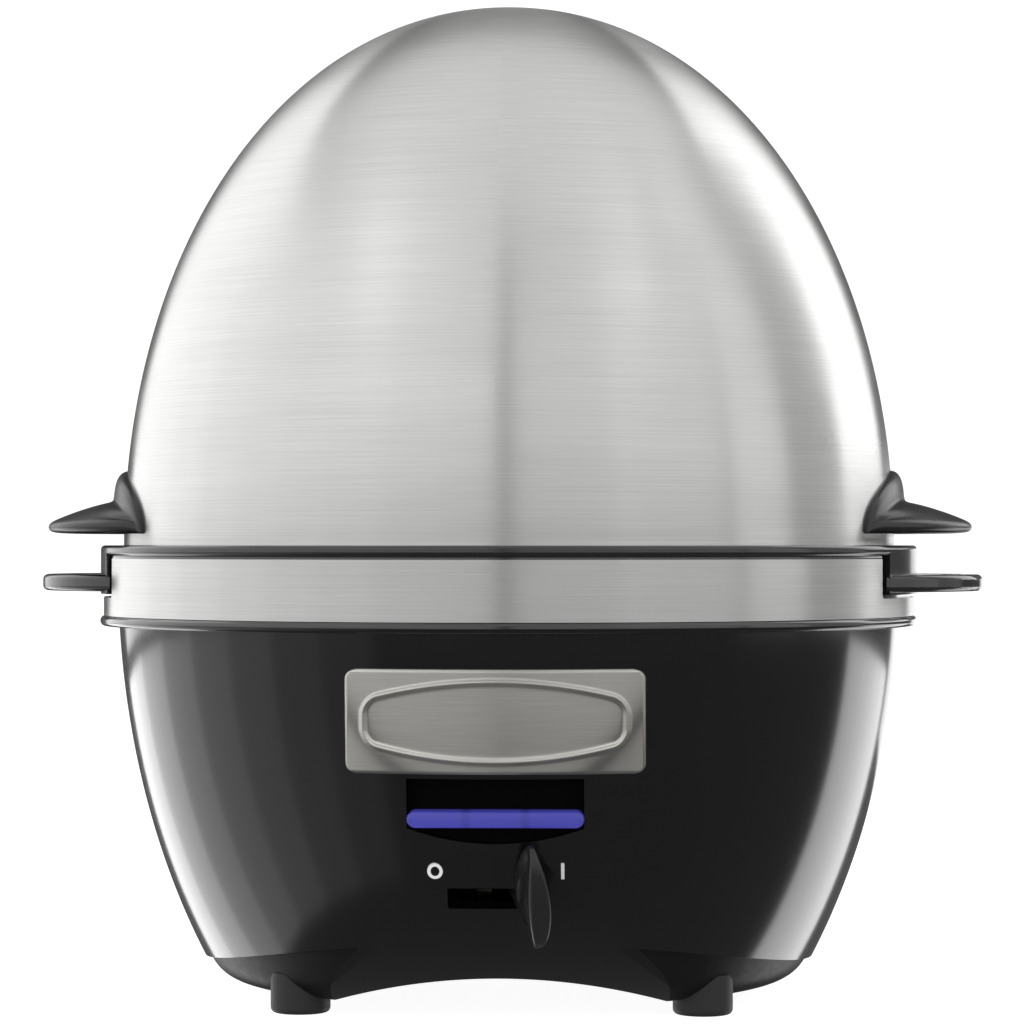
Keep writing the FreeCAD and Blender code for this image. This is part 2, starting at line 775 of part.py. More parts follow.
def switch_lever():
    hub_height = lever_arm_height + 1.0
    hub = cylinder(hub_radius, hub_height, Vector(0, switch_reach, -hub_height / 2))
    neck_y = switch_reach - (switch_reach + paddle_gap) / math.cos(math.radians(switch_swing / 2))
    arm = block(-lever_arm_width / 2, lever_arm_width / 2, neck_y - 2.5, switch_reach - 3.0,
                -lever_arm_height / 2, lever_arm_height / 2)
    centre = Vector(-paddle_thickness / 2, neck_y - paddle_depth / 2, paddle_rise)
    ellipse = Part.Ellipse(centre, paddle_height / 2, paddle_depth / 2)
    ellipse.Axis = RIGHT
    ellipse.XAxis = UP
    paddle = Part.Face(Part.Wire(ellipse.toShape())).extrude(RIGHT * paddle_thickness)
    paddle = paddle.makeFillet(0.8, paddle.Edges[0:1] + paddle.Edges[-1:])
    lever = hub.fuse([arm, paddle])
    lever = lever.cut(cylinder(shaft_radius, hub_height, Vector(0, switch_reach, -hub_height / 2)))
    return switch_turned(lever.removeSplitter())


switch_box_low = upper_plate_z + bracket_gauge
switch_box_height = 12.0


def switch_shaft():
    low = -plate_low - bracket_gauge
    high = switch_box_low + switch_box_height - 2.0
    shaft = cylinder(shaft_radius, high - low, Vector(0, switch_reach, low))
    return switch_turned(shaft)


def switch_body():
    """Rotary switch whose bore takes the lever's shaft, with three blade terminals behind."""
    centre_y = switch_reach
    box = block(-9.0, 9.0, centre_y - 8.0, centre_y + 8.0, switch_box_low,
                switch_box_low + switch_box_height)
    bore = cylinder(shaft_radius + shaft_clearance, switch_box_height - 1.4,
                    Vector(0, centre_y, switch_box_low))
    box = box.cut(bore)
    for x in (-5.5, 0.0, 5.5):
        box = box.fuse(block(x - 1.6, x + 1.6, centre_y + 8.0, centre_y + 15.0,
                             switch_box_low + 7.0, switch_box_low + 7.8))
    return in_switch_frame(box.removeSplitter())


def switch_bracket():
    """Folded steel bracket: two plates with the shaft between them, joined behind."""
    back = switch_reach + 10.5
    low = -plate_low - bracket_gauge
    upper = block(-15.0, 15.0, boss_face_y, back, upper_plate_z, switch_box_low)
    lower = block(-9.0, 9.0, switch_reach - 8.0, back, low, -plate_low)
    web = block(-9.0, 9.0, back - bracket_gauge, back, low, switch_box_low)
    flange = block(-15.0, 15.0, boss_face_y, boss_face_y + bracket_gauge, 3.0, upper_plate_z + 4.5)
    bracket = upper.fuse([lower, web, flange])
    bore = cylinder(shaft_radius + shaft_clearance, 40.0, Vector(0, switch_reach, low - 1.0))
    bracket = in_switch_frame(bracket.cut(bore))
    for fixing in panel_screw_solids():
        bracket = bracket.cut(fixing)
    return bracket.removeSplitter()


def badge_plate():
    outline = rounded_plate(badge_width, badge_height, badge_corner, badge_z, -1.5 * body_radius, 0.0)
    bowl = body_solid(0.0, shoulder_z)
    skin = body_solid(-badge_gauge, shoulder_z - 0.5).cut(bowl)
    plate = outline.common(skin)
    raised = body_solid(-badge_gauge - emboss_rise, shoulder_z - 0.5).cut(body_solid(-badge_gauge * 0.5, shoulder_z))
    frame = lozenge(0.0).cut(lozenge(emboss_width))
    return plate.fuse(frame.common(raised)).removeSplitter()


def lozenge(inset):
    """Prism along Y: flat ends, arched above and below."""
    half = badge_width / 2 - emboss_margin - inset
    end = emboss_half_end - inset * 0.4
    crown = emboss_half_crown - inset
    right_low = Vector(half, 0, badge_z - end)
    right_top = Vector(half, 0, badge_z + end)
    left_top = Vector(-half, 0, badge_z + end)
    left_low = Vector(-half, 0, badge_z - end)
    edges = [Part.makeLine(right_low, right_top),
             Part.Arc(right_top, Vector(0, 0, badge_z + crown), left_top).toShape(),
             Part.makeLine(left_top, left_low),
             Part.Arc(left_low, Vector(0, 0, badge_z - crown), right_low).toShape()]
    return Part.Face(Part.Wire(edges)).extrude(Vector(0, -1.5 * body_radius, 0))


board_place = Vector(0, 14.0, 18.0)
board_length = 56.0
board_width = 34.0


def board_corners():
    corners = []
    for side_x in (-1, 1):
        for side_y in (-1, 1):
            corners.append(Vector(side_x * (board_length / 2 - 4.0),
                                  board_place.y + side_y * (board_width / 2 - 4.0), 0))
    return corners


def board_boss_solids():
    bosses = []
    inside = body_solid(cover_step, shoulder_z).cut(arch_cylinder(0.0))
    for place in board_corners():
        boss = cylinder(3.0, board_place.z, place)
        bosses.append(boss.common(inside))
    return bosses


def board_screw_solids():
    solids = []
    for place in board_corners():
        fixing = screw(6.0, 1.1, 2.2, 1.4)
        fixing.rotate(Vector(0, 0, 0), RIGHT, 180.0)
        fixing.translate(Vector(place.x, place.y, board_place.z + 1.6))
        solids.append(fixing)
    return solids


def control_board():
    low = board_place.z
    board = block(-board_length / 2, board_length / 2, board_place.y - board_width / 2,
                  board_place.y + board_width / 2, low, low + 1.6)
    parts = [block(-20.0, -8.0, board_place.y - 12.0, board_place.y - 3.0, low + 1.6, low + 9.6),
             block(-17.0, -9.0, board_place.y + 2.0, board_place.y + 12.0, low + 1.6, low + 6.0),
             cylinder(3.2, 9.0, Vector(-1.0, board_place.y - 10.0, low + 1.6)),
             block(-3.0, 3.0, board_place.y + 6.0, board_place.y + 12.0, low + 1.6, low + 5.0)]
    board = board.fuse(parts)
    for fixing in board_screw_solids():
        board = board.cut(fixing)
    return board.removeSplitter()


def buzzer():
    place = Vector(13.0, board_place.y, board_place.z + 1.6)
    case = cylinder(8.0, 7.0, place)
    return case.cut(cylinder(1.2, 3.0, place + UP * 5.0))


def terminal_block():
    """Two-pole screw terminal behind the inlet, on the cover's floor."""
    low = arch_top_z + cover_wall
    body = block(-13.0, 13.0, 38.0, 50.0, low, low + 11.0)
    for x in (-6.5, 6.5):
        body = body.cut(cylinder(2.2, 4.0, Vector(x, 44.0, low + 7.0)))
        body = body.cut(cylinder(1.8, 12.0, Vector(x, 38.0, low + 4.5), BACK))
    return body.cut(arch_cylinder(cover_wall))


def seat(hole_radius, mouth_radius, deck_low, deck_top):
    """Egg seat: a funnel through the deck, closed at neither end."""
    low = deck_low - seat_depth
    high = deck_top + seat_rise
    corners = [Vector(hole_radius, 0, low), Vector(hole_radius + seat_wall, 0, low),
               Vector(mouth_radius + seat_wall, 0, high), Vector(mouth_radius, 0, high)]
    return Part.Face(polygon(corners)).revolve(Vector(0, 0, 0), UP, 360.0)


def seat_bore(hole_radius, mouth_radius, deck_low, deck_top):
    low = deck_low - seat_depth
    high = deck_top + seat_rise
    return Part.makeCone(hole_radius + 0.4, mouth_radius + 0.4, high - low, Vector(0, 0, low))


def placed_at(shape, place):
    copy = shape.copy()
    copy.translate(Vector(place.x, place.y, 0))
    return copy


def rack_seat_places():
    return [Vector(0, 0, 0)] + [polar(seat_pitch, 360.0 / outer_seats * i) for i in range(outer_seats)]


def crescent_radius(half_chord, sagitta):
    return (sagitta ** 2 + half_chord ** 2) / (2.0 * sagitta)


def grip():
    """Flat crescent outside the tab, with three finger slots let into its top."""
    low = collar_top_z - grip_drop
    half = ring_radius * math.sin(math.radians(tab_half_angle))
    near = ring_radius * math.cos(math.radians(tab_half_angle))
    tip = ring_radius + grip_reach
    radius = crescent_radius(half, tip - near)
    centre = Vector(tip - radius, 0, low)
    plate = cylinder(radius, grip_thickness, centre)
    rim = [e for e in plate.Edges if e.BoundBox.ZLength < 0.01]
    plate = plate.makeFillet(grip_edge_radius, rim)
    plate = plate.cut(cylinder(ring_radius - 0.6, 4 * grip_thickness, Vector(0, 0, low - 1.0)))
    slot_low = low + grip_thickness - grip_slot_depth
    slot_pitch = 0.8 * grip_slot_half_angle
    for turn in (-slot_pitch, 0.0, slot_pitch):
        slot = sector(radius - 2.0 * grip_slot_width, radius - grip_slot_width, slot_low,
                      low + 2.0 * grip_thickness, turn, grip_slot_half_angle / 3.0)
        slot.translate(Vector(centre.x, 0, 0))
        plate = plate.cut(slot.cut(cylinder(ring_radius + 2.0, 200.0, Vector(0, 0, 0))))
    return plate


def egg_rack():
    deck_top = ring_top_z - lid_seat_depth
    deck_low = deck_top - deck_thickness
    rim = ring(ring_radius, ring_radius - ring_width, collar_top_z, ring_top_z)
    edges = [e for e in rim.Edges if abs(e.BoundBox.XMax - ring_radius) < 0.01 and e.BoundBox.ZLength < 0.01]
    rim = rim.makeFillet(ring_thickness * 0.4, edges)
    rim = rim.cut(cylinder(lid_radius + lid_seat_gap, ring_thickness, Vector(0, 0, lid_rim_z)))
    deck = cylinder(collar_bore - 2.0, deck_thickness, Vector(0, 0, deck_low))
    rack = rim.fuse(deck)
    funnel = seat(seat_hole_radius, seat_mouth_radius, deck_low, deck_top)
    opening = seat_bore(seat_hole_radius, seat_mouth_radius, deck_low, deck_top)
    for place in rack_seat_places():
        rack = rack.cut(placed_at(opening, place))
    for place in rack_seat_places():
        rack = rack.fuse(placed_at(funnel, place))
    for i in range(3):
        rack = rack.cut(cylinder(steam_hole_radius, 10.0, polar(upper_leg_circle(), 90.0 + 120.0 * i, deck_low - 1)))
    for i in range(outer_seats):
        rack = rack.cut(cylinder(steam_hole_radius, 10.0, polar(1.42 * seat_pitch, 30.0 + 60.0 * i, deck_low - 1)))
    rack = turned(rack, -rack_clocking)
    for middle in (0.0, 180.0):
        tab = sector(ring_radius - tab_thickness, ring_radius, collar_top_z - tab_drop,
                     collar_top_z + ring_thickness * 0.5, -rack_clocking + middle, tab_half_angle)
        rack = rack.fuse([tab, turned(grip(), middle - rack_clocking)])
    return rack.removeSplitter()


def upper_leg_circle():
    """A leg stands midway between the middle seat and two neighbours."""
    return seat_pitch / math.sqrt(3.0)


def upper_rack():
    """Three seats on three legs that stand on the lower deck, with a lifting post."""
    floor_z = ring_top_z - lid_seat_depth
    low = floor_z + upper_rise
    high = low + deck_thickness
    deck = cylinder(max(upper_deck_radius, upper_leg_circle() + upper_leg_radius + 1.0), deck_thickness,
                    Vector(0, 0, low))
    funnel = seat(seat_hole_radius, seat_mouth_radius, low, high)
    opening = seat_bore(seat_hole_radius, seat_mouth_radius, low, high)
    places = [polar(upper_seat_radius, 90.0 + 120.0 * i) for i in range(upper_seats)]
    for place in places:
        deck = deck.cut(placed_at(opening, place))
    for place in places:
        deck = deck.fuse(placed_at(funnel, place))
    for i in range(upper_seats):
        leg = cylinder(upper_leg_radius, upper_rise + 0.5, polar(upper_leg_circle(), 30.0 + 120.0 * i, floor_z))
        deck = deck.fuse(leg)
    post = cylinder(3.0, post_height, Vector(0, 0, low))
    knob = Part.makeTorus(knob_radius - 3.0, 3.0, Vector(0, 0, low + post_height), UP)
    disc = cylinder(knob_radius - 3.0, 3.0, Vector(0, 0, low + post_height - 1.5))
    deck = deck.fuse([post, disc, knob])
    return turned(deck.removeSplitter(), -rack_clocking)


def dome_radius_at(z, inset):
    share = min(1.0, (z - lid_rim_z) / (lid_height - inset))
    return (lid_radius - inset) * (1.0 - share ** lid_power) ** (1.0 / lid_power)


def dome_curve(inset, low_z):
    """Meridian of the dome, its surface moved inwards by the inset, from low_z to the top."""
    height = lid_height - inset
    start = math.asin((low_z - lid_rim_z) / height)
    points = []
    for i in range(12):
        z = lid_rim_z + height * math.sin(start + (math.pi / 2 - start) * i / 12)
        points.append(Vector(dome_radius_at(z, inset), 0, z))
    points.append(Vector(0, 0, lid_rim_z + height))
    curve = Part.BSplineCurve()
    curve.interpolate(points)
    return curve.toShape()


def dome_solid():
    foot = Vector(0, 0, lid_rim_z)
    edges = [Part.makeLine(foot, Vector(lid_radius, 0, lid_rim_z)), dome_curve(0.0, lid_rim_z),
             Part.makeLine(Vector(0, 0, lid_top_z), foot)]
    return revolve(edges)


def dome_wall():
    """Sheet of the lid with the thicker hem that is rolled inwards at its rim."""
    hem_top = lid_rim_z + hem_height
    inner = dome_curve(lid_gauge, hem_top)
    inner_start = Vector(dome_radius_at(hem_top, lid_gauge), 0, hem_top)
    corners = [inner_start, Vector(lid_radius - hem_width, 0, hem_top),
               Vector(lid_radius - hem_width, 0, lid_rim_z), Vector(lid_radius, 0, lid_rim_z)]
    edges = [Part.makeLine(first, second) for first, second in zip(corners, corners[1:])]
    edges.append(dome_curve(0.0, lid_rim_z))
    edges.append(Part.makeLine(Vector(0, 0, lid_top_z), Vector(0, 0, lid_top_z - lid_gauge)))
    edges.append(inner)
    return revolve(edges)


def lid_shell():
    shell = dome_wall()
    shell = shell.cut(cylinder(vent_radius, 20.0, Vector(vent_offset, 0, lid_top_z - 10.0)))
    for fixing in handle_screw_solids():
        shell = shell.cut(fixing)
    return shell


def handle_half_chord():
    return lid_radius * math.sin(math.radians(lid_handle_half_angle))


def handle_fin():
    """Round lens that stands half inside the dome, thinning from its root to the tip."""
    low = lid_rim_z + lid_handle_lift
    tip = lid_radius + lid_handle_reach
    near = lid_radius * math.cos(math.radians(lid_handle_half_angle))
    plan_radius = crescent_radius(handle_half_chord(), tip - near)
    centre_x = tip - plan_radius
    root_x = lid_radius + lid_pad_thickness + lid_fin_root_gap - centre_x
    root = Vector(root_x, 0, low + lid_fin_height)
    bulge = Vector(plan_radius - lid_fin_bulge_in, 0, low + lid_fin_bulge_height)
    nose_z = low + lid_fin_nose_lift
    nose_low = Vector(plan_radius - lid_fin_nose_length, 0, nose_z)
    nose = Vector(plan_radius, 0, nose_z + lid_handle_tip / 2)
    nose_top = Vector(plan_radius - lid_fin_nose_length, 0, nose_z + lid_handle_tip)
    shoulder = Vector(plan_radius - lid_fin_flat_in, 0, low)
    edges = [Part.makeLine(Vector(0, 0, low), shoulder),
             Part.makeLine(shoulder, nose_low),
             Part.Arc(nose_low, nose, nose_top).toShape(),
             Part.Arc(nose_top, bulge, root).toShape(),
             Part.makeLine(root, Vector(0, 0, root.z)),
             Part.makeLine(Vector(0, 0, root.z), Vector(0, 0, low))]
    fin = revolve(edges)
    fin.translate(Vector(centre_x, 0, 0))
    return fin


def handle_pad():
    """Leaf-shaped pad on the dome: a cone-sided ring less all outside a half ellipse."""
    low = lid_rim_z + lid_handle_lift
    top = low + lid_pad_height
    inner = lid_radius - pad_depth
    corners = [Vector(inner, 0, low), Vector(lid_radius + lid_pad_thickness, 0, low),
               Vector(dome_radius_at(top, 0.0) + lid_pad_thickness, 0, top), Vector(inner, 0, top)]
    cone_ring = revolve(polygon(corners).Edges)
    half = handle_half_chord()
    leaf = Part.Ellipse(Vector(0, 0, low), half, lid_pad_height)
    leaf.Axis = RIGHT
    leaf.XAxis = BACK
    prism = Part.Face(Part.Wire(leaf.toShape())).extrude(Vector(2.0 * lid_radius, 0, 0))
    return cone_ring.common(prism)


def lid_handle(side):
    handle = handle_fin().fuse(handle_pad()).cut(dome_solid())
    handle = turned(handle, 0.0 if side > 0 else 180.0)
    for fixing in handle_screw_solids():
        handle = handle.cut(fixing)
    return handle.removeSplitter()


def handle_screw_angles():
    return [base + turn for base in (0.0, 180.0) for turn in (-handle_screw_angle, handle_screw_angle)]


def handle_screw_solids():
    solids = []
    z = lid_screw_height()
    head_face = dome_radius_at(z, lid_gauge) - handle_washer_room
    for angle in handle_screw_angles():
        fixing = screw(handle_screw_length, handle_screw_radius, 3.6, 2.2)
        fixing.rotate(Vector(0, 0, 0), BACK, 90.0)
        fixing.translate(Vector(head_face, 0, z))
        solids.append(turned(fixing, angle))
    return solids


def handle_washer_solids():
    """Sealing washers between the screw heads and the inside of the dome."""
    z = lid_screw_height()
    head_face = dome_radius_at(z, lid_gauge) - handle_washer_room
    solids = []
    for angle in handle_screw_angles():
        washer = cylinder(4.2, handle_washer_room - 0.4, Vector(head_face, 0, z), RIGHT)
        washer = washer.cut(cylinder(handle_screw_radius, 3.0, Vector(head_face, 0, z), RIGHT))
        solids.append(turned(washer, angle))
    return solids


def export(name, shape):
    shape.exportStep("parts/" + name + ".step")


os.makedirs("parts", exist_ok=True)
export("base_housing", base_housing())
export("bottom_cover", bottom_cover())
export("control_panel", control_panel())
export("switch_marks", Part.makeCompound(mark_solids()))
export("trim_band", trim_band())
export("badge_plate", badge_plate())
export("led_lens", led_lens())
export("led_board", led_board())
export("feet", feet())
export("foot_screws", Part.makeCompound(foot_screw_solids()))
export("cover_screws", Part.makeCompound(cover_screw_solids()))
export("panel_screws", Part.makeCompound(panel_screw_solids()))
export("board_screws", Part.makeCompound(board_screw_solids()))
export("cord_gland", cord_gland())
export("heating_plate", heating_plate())
export("plate_seal", plate_seal())
export("plate_studs", Part.makeCompound(plate_stud_solids()))
export("stud_nuts", Part.makeCompound(stud_nut_solids()))
export("heating_element", heating_element())
export("heat_shield", heat_shield())
export("thermostat", thermostat())
export("thermostat_clip", thermostat_clip())
export("thermal_fuse", thermal_fuse())
export("switch_lever", switch_lever())
export("switch_shaft", switch_shaft())
export("switch_body", switch_body())
export("switch_bracket", switch_bracket())
export("control_board", control_board())
export("buzzer", buzzer())
export("terminal_block", terminal_block())
export("egg_rack", egg_rack())
export("upper_rack", upper_rack())
export("lid_shell", lid_shell())
export("lid_handle_left", lid_handle(-1))
export("lid_handle_right", lid_handle(1))
export("handle_screws", Part.makeCompound(handle_screw_solids()))
export("handle_washers", Part.makeCompound(handle_washer_solids()))
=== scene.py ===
import bpy
import bmesh
import json
import math
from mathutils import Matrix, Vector


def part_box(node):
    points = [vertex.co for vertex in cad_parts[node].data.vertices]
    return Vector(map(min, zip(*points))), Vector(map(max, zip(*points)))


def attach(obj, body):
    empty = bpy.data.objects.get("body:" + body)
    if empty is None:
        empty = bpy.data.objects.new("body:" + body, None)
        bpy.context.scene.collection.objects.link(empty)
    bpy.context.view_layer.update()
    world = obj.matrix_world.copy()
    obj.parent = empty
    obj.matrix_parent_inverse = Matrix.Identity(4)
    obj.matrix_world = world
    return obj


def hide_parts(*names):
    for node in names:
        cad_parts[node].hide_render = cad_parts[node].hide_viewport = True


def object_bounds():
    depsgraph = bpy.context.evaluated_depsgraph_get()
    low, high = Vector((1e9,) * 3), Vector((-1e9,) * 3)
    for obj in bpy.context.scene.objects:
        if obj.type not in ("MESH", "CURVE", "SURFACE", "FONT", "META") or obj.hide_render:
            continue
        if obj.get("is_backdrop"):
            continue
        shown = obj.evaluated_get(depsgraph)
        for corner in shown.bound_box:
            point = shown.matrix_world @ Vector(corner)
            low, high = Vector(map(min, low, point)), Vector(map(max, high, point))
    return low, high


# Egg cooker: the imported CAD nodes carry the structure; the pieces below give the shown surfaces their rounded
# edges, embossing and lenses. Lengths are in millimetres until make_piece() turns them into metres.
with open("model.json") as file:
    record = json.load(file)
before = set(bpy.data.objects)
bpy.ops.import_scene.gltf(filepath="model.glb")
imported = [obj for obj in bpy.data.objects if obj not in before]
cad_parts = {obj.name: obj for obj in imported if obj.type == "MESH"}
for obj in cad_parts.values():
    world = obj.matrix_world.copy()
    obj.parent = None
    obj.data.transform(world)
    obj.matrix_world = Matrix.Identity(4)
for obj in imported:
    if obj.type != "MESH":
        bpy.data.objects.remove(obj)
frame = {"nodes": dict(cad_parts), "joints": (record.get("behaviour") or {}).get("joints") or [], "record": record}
cad_low, cad_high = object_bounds()
MM = 0.001


def low_of(node):
    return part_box(node)[0] / MM


def high_of(node):
    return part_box(node)[1] / MM


# Levels and radii read from the frame
FLOOR_Z = low_of("feet").z
TOP_Z = high_of("lid_shell").z
RIM_Z = low_of("lid_shell").z
LID_RADIUS = high_of("lid_shell").x
BAND_RADIUS = high_of("trim_band").x


# ---------------------------------------------------------------- node materials
def new_material(name):
    material = bpy.data.materials.new(name)
    material.use_nodes = True
    tree = material.node_tree
    shader = tree.nodes["Principled BSDF"]
    return material, tree, shader


def link(tree, a, b):
    tree.links.new(a, b)


def object_coordinates(tree):
    return tree.nodes.new("ShaderNodeTexCoord").outputs["Object"]


def scaled(tree, vector, scale):
    mapping = tree.nodes.new("ShaderNodeMapping")
    mapping.inputs["Scale"].default_value = scale
    link(tree, vector, mapping.inputs["Vector"])
    return mapping.outputs["Vector"]


def noise(tree, vector, scale, detail=3.0, roughness=0.55):
    node = tree.nodes.new("ShaderNodeTexNoise")
    node.inputs["Scale"].default_value = scale
    node.inputs["Detail"].default_value = detail
    node.inputs["Roughness"].default_value = roughness
    link(tree, vector, node.inputs["Vector"])
    return node.outputs["Fac"]


def spread(tree, value, low, high, source_low=0.3, source_high=0.7):
    node = tree.nodes.new("ShaderNodeMapRange")
    node.inputs["From Min"].default_value = source_low
    node.inputs["From Max"].default_value = source_high
    node.inputs["To Min"].default_value = low
    node.inputs["To Max"].default_value = high
    link(tree, value, node.inputs["Value"])
    return node.outputs["Result"]


def blended(tree, value, first, second):
    node = tree.nodes.new("ShaderNodeMix")
    node.data_type = "RGBA"
    node.inputs["A"].default_value = (*first, 1.0)
    node.inputs["B"].default_value = (*second, 1.0)
    link(tree, value, node.inputs["Factor"])
    return node.outputs["Result"]


def bumped(tree, shader, value, strength, distance):
    node = tree.nodes.new("ShaderNodeBump")
    node.inputs["Strength"].default_value = strength
    node.inputs["Distance"].default_value = distance
    link(tree, value, node.inputs["Height"])
    link(tree, node.outputs["Normal"], shader.inputs["Normal"])


def around_axis(tree):
    """Coordinates unrolled about Z: arc length along X, height along Y."""
    split = tree.nodes.new("ShaderNodeSeparateXYZ")
    link(tree, object_coordinates(tree), split.inputs["Vector"])
    angle = tree.nodes.new("ShaderNodeMath")
    angle.operation = "ARCTAN2"
    link(tree, split.outputs["X"], angle.inputs[0])
    link(tree, split.outputs["Y"], angle.inputs[1])
    arc = tree.nodes.new("ShaderNodeMath")
    arc.operation = "MULTIPLY"
    arc.inputs[1].default_value = LID_RADIUS * MM
    link(tree, angle.outputs["Value"], arc.inputs[0])
    joined = tree.nodes.new("ShaderNodeCombineXYZ")
    link(tree, arc.outputs["Value"], joined.inputs["X"])
    link(tree, split.outputs["Z"], joined.inputs["Y"])
    return joined.outputs["Vector"]


def brushed_steel(name, tone, roughness, streak_along=22.0, streak_across=3200.0, unrolled=True,
                  anisotropy=0.75):
    """Steel brushed along the horizontal: fine streaks in tone, roughness and relief."""
    material, tree, shader = new_material(name)
    shader.inputs["Metallic"].default_value = 1.0
    shader.inputs["Anisotropic"].default_value = anisotropy
    shader.inputs["Anisotropic Rotation"].default_value = 0.25
    place = around_axis(tree) if unrolled else object_coordinates(tree)
    scale = (streak_along, streak_across, 1.0) if unrolled else (streak_along, streak_along, streak_across)
    streaks = noise(tree, scaled(tree, place, scale), 1.0, 4.0, 0.6)
    clouds = noise(tree, scaled(tree, place, (9.0, 60.0, 9.0)), 1.0, 2.0)
    tangent = tree.nodes.new("ShaderNodeTangent")
    tangent.direction_type = "RADIAL"
    tangent.axis = "Z"
    link(tree, tangent.outputs["Tangent"], shader.inputs["Tangent"])
    darker = tuple(c * 0.86 for c in tone)
    link(tree, blended(tree, spread(tree, streaks, 0.0, 1.0), darker, tone), shader.inputs["Base Color"])
    link(tree, spread(tree, clouds, roughness - 0.03, roughness + 0.03), shader.inputs["Roughness"])
    bumped(tree, shader, streaks, 0.12, 0.00006)
    return material


def moulded(name, tone, roughness, grain=900.0, relief=0.00002, strength=0.2, coat=0.0, level=0.5):
    """Moulded plastic: faint cloudiness in tone and gloss over a fine surface grain."""
    material, tree, shader = new_material(name)
    place = object_coordinates(tree)
    clouds = noise(tree, scaled(tree, place, (40.0, 40.0, 40.0)), 1.0, 3.0)
    fine = noise(tree, scaled(tree, place, (grain, grain, grain)), 1.0, 2.0)
    lighter = tuple(min(c * 1.25, c + 0.03) for c in tone)
    link(tree, blended(tree, spread(tree, clouds, 0.0, 1.0), tone, lighter), shader.inputs["Base Color"])
    link(tree, spread(tree, fine, roughness * 0.9, roughness * 1.1), shader.inputs["Roughness"])
    shader.inputs["Specular IOR Level"].default_value = level
    shader.inputs["Coat Weight"].default_value = coat
    shader.inputs["Coat Roughness"].default_value = 0.12
    bumped(tree, shader, fine, strength, relief)
    return material


def hardware(name, dull, bright):
    """Turned or pressed metal with fine wear."""
    material, tree, shader = new_material(name)
    shader.inputs["Metallic"].default_value = 1.0
    place = object_coordinates(tree)
    wear = noise(tree, scaled(tree, place, (700.0, 700.0, 700.0)), 1.0, 4.0)
    link(tree, blended(tree, spread(tree, wear, 0.0, 1.0), dull, bright), shader.inputs["Base Color"])
    link(tree, spread(tree, wear, 0.22, 0.38), shader.inputs["Roughness"])
    bumped(tree, shader, wear, 0.1, 0.00005)
    return material


def lit_lens():
    """Blue light guide: three lamps behind it, so it is a little duller between them."""
    material, tree, shader = new_material("lens_blue")
    split = tree.nodes.new("ShaderNodeSeparateXYZ")
    link(tree, object_coordinates(tree), split.inputs["Vector"])
    wave = tree.nodes.new("ShaderNodeMath")
    wave.operation = "MULTIPLY"
    wave.inputs[1].default_value = 6.0 * math.pi / (high_of("led_lens").x - low_of("led_lens").x) / MM
    link(tree, split.outputs["X"], wave.inputs[0])
    cosine = tree.nodes.new("ShaderNodeMath")
    cosine.operation = "COSINE"
    link(tree, wave.outputs["Value"], cosine.inputs[0])
    glow = blended(tree, spread(tree, cosine.outputs["Value"], 0.0, 1.0, -1.0, -0.8),
                   (0.035, 0.035, 0.28), (0.062, 0.06, 0.44))
    link(tree, glow, shader.inputs["Emission Color"])
    shader.inputs["Emission Strength"].default_value = 0.38
    shader.inputs["Base Color"].default_value = (0.03, 0.03, 0.2, 1.0)
    shader.inputs["Roughness"].default_value = 0.25
    return material


MATERIALS = {
    "gloss_black": moulded("gloss_black", (0.0025, 0.0025, 0.003), 0.15, 500.0, 0.000004, 0.1, 1.0),
    "rack_black": moulded("rack_black", (0.007, 0.007, 0.0075), 0.2, 900.0, 0.000005, 0.1, 0.6),
    # Near-black, almost unreflective finish of the pocket liner: painted shade for the recess round the light bar
    "pocket_black": moulded("pocket_black", (0.001, 0.001, 0.001), 0.5, 1500.0, 0.00001, 0.1, 0.0, 0.05),
    "panel_black": moulded("panel_black", (0.0025, 0.0025, 0.003), 0.22, 500.0, 0.000006, 0.1, 0.8),
    "cover_black": moulded("cover_black", (0.004, 0.004, 0.0045), 0.4, 700.0, 0.00001, 0.1, 0.0, 0.25),
    "satin_black": moulded("satin_black", (0.009, 0.009, 0.0095), 0.3, 1500.0, 0.000006, 0.1),
    "brushed_steel": brushed_steel("brushed_steel", (0.73, 0.73, 0.72), 0.3, anisotropy=0.88),
    "steel_hardware": hardware("steel_hardware", (0.5, 0.5, 0.5), (0.68, 0.68, 0.67)),
    "rubber": moulded("rubber", (0.015, 0.015, 0.015), 0.55, 1200.0, 0.00003, 0.3),
    "lens_blue": lit_lens(),
    "mark_grey": moulded("mark_grey", (0.62, 0.62, 0.62), 0.5),
    "silicone": moulded("silicone", (0.55, 0.54, 0.5), 0.45),
    "pan_coating": moulded("pan_coating", (0.05, 0.05, 0.052), 0.35, 2200.0, 0.00004, 0.3),
    "circuit_board": moulded("circuit_board", (0.02, 0.16, 0.06), 0.4),
    "cream_plastic": moulded("cream_plastic", (0.72, 0.68, 0.56), 0.4),
    "brass": hardware("brass", (0.52, 0.38, 0.16), (0.7, 0.53, 0.26)),
    "badge_steel": brushed_steel("badge_steel", (0.78, 0.77, 0.73), 0.42, 60.0, 3600.0, anisotropy=0.85),
}
# Nodes and pieces whose finish is a shade apart from their slot's
FINER = {"control_panel": "panel_black", "bottom_cover": "cover_black", "egg_rack": "rack_black"}
SLOT_OF = {}
for row in frame["record"]["materials"]:
    for node in row.get("nodes", []):
        SLOT_OF[node] = row["slot"]
for name, node in frame["nodes"].items():
    slot_name = SLOT_OF.get(name)
    for place in node.material_slots:
        found = slot_name or place.material.name.split(".")[0]
        place.material = MATERIALS[FINER.get(name, found)]


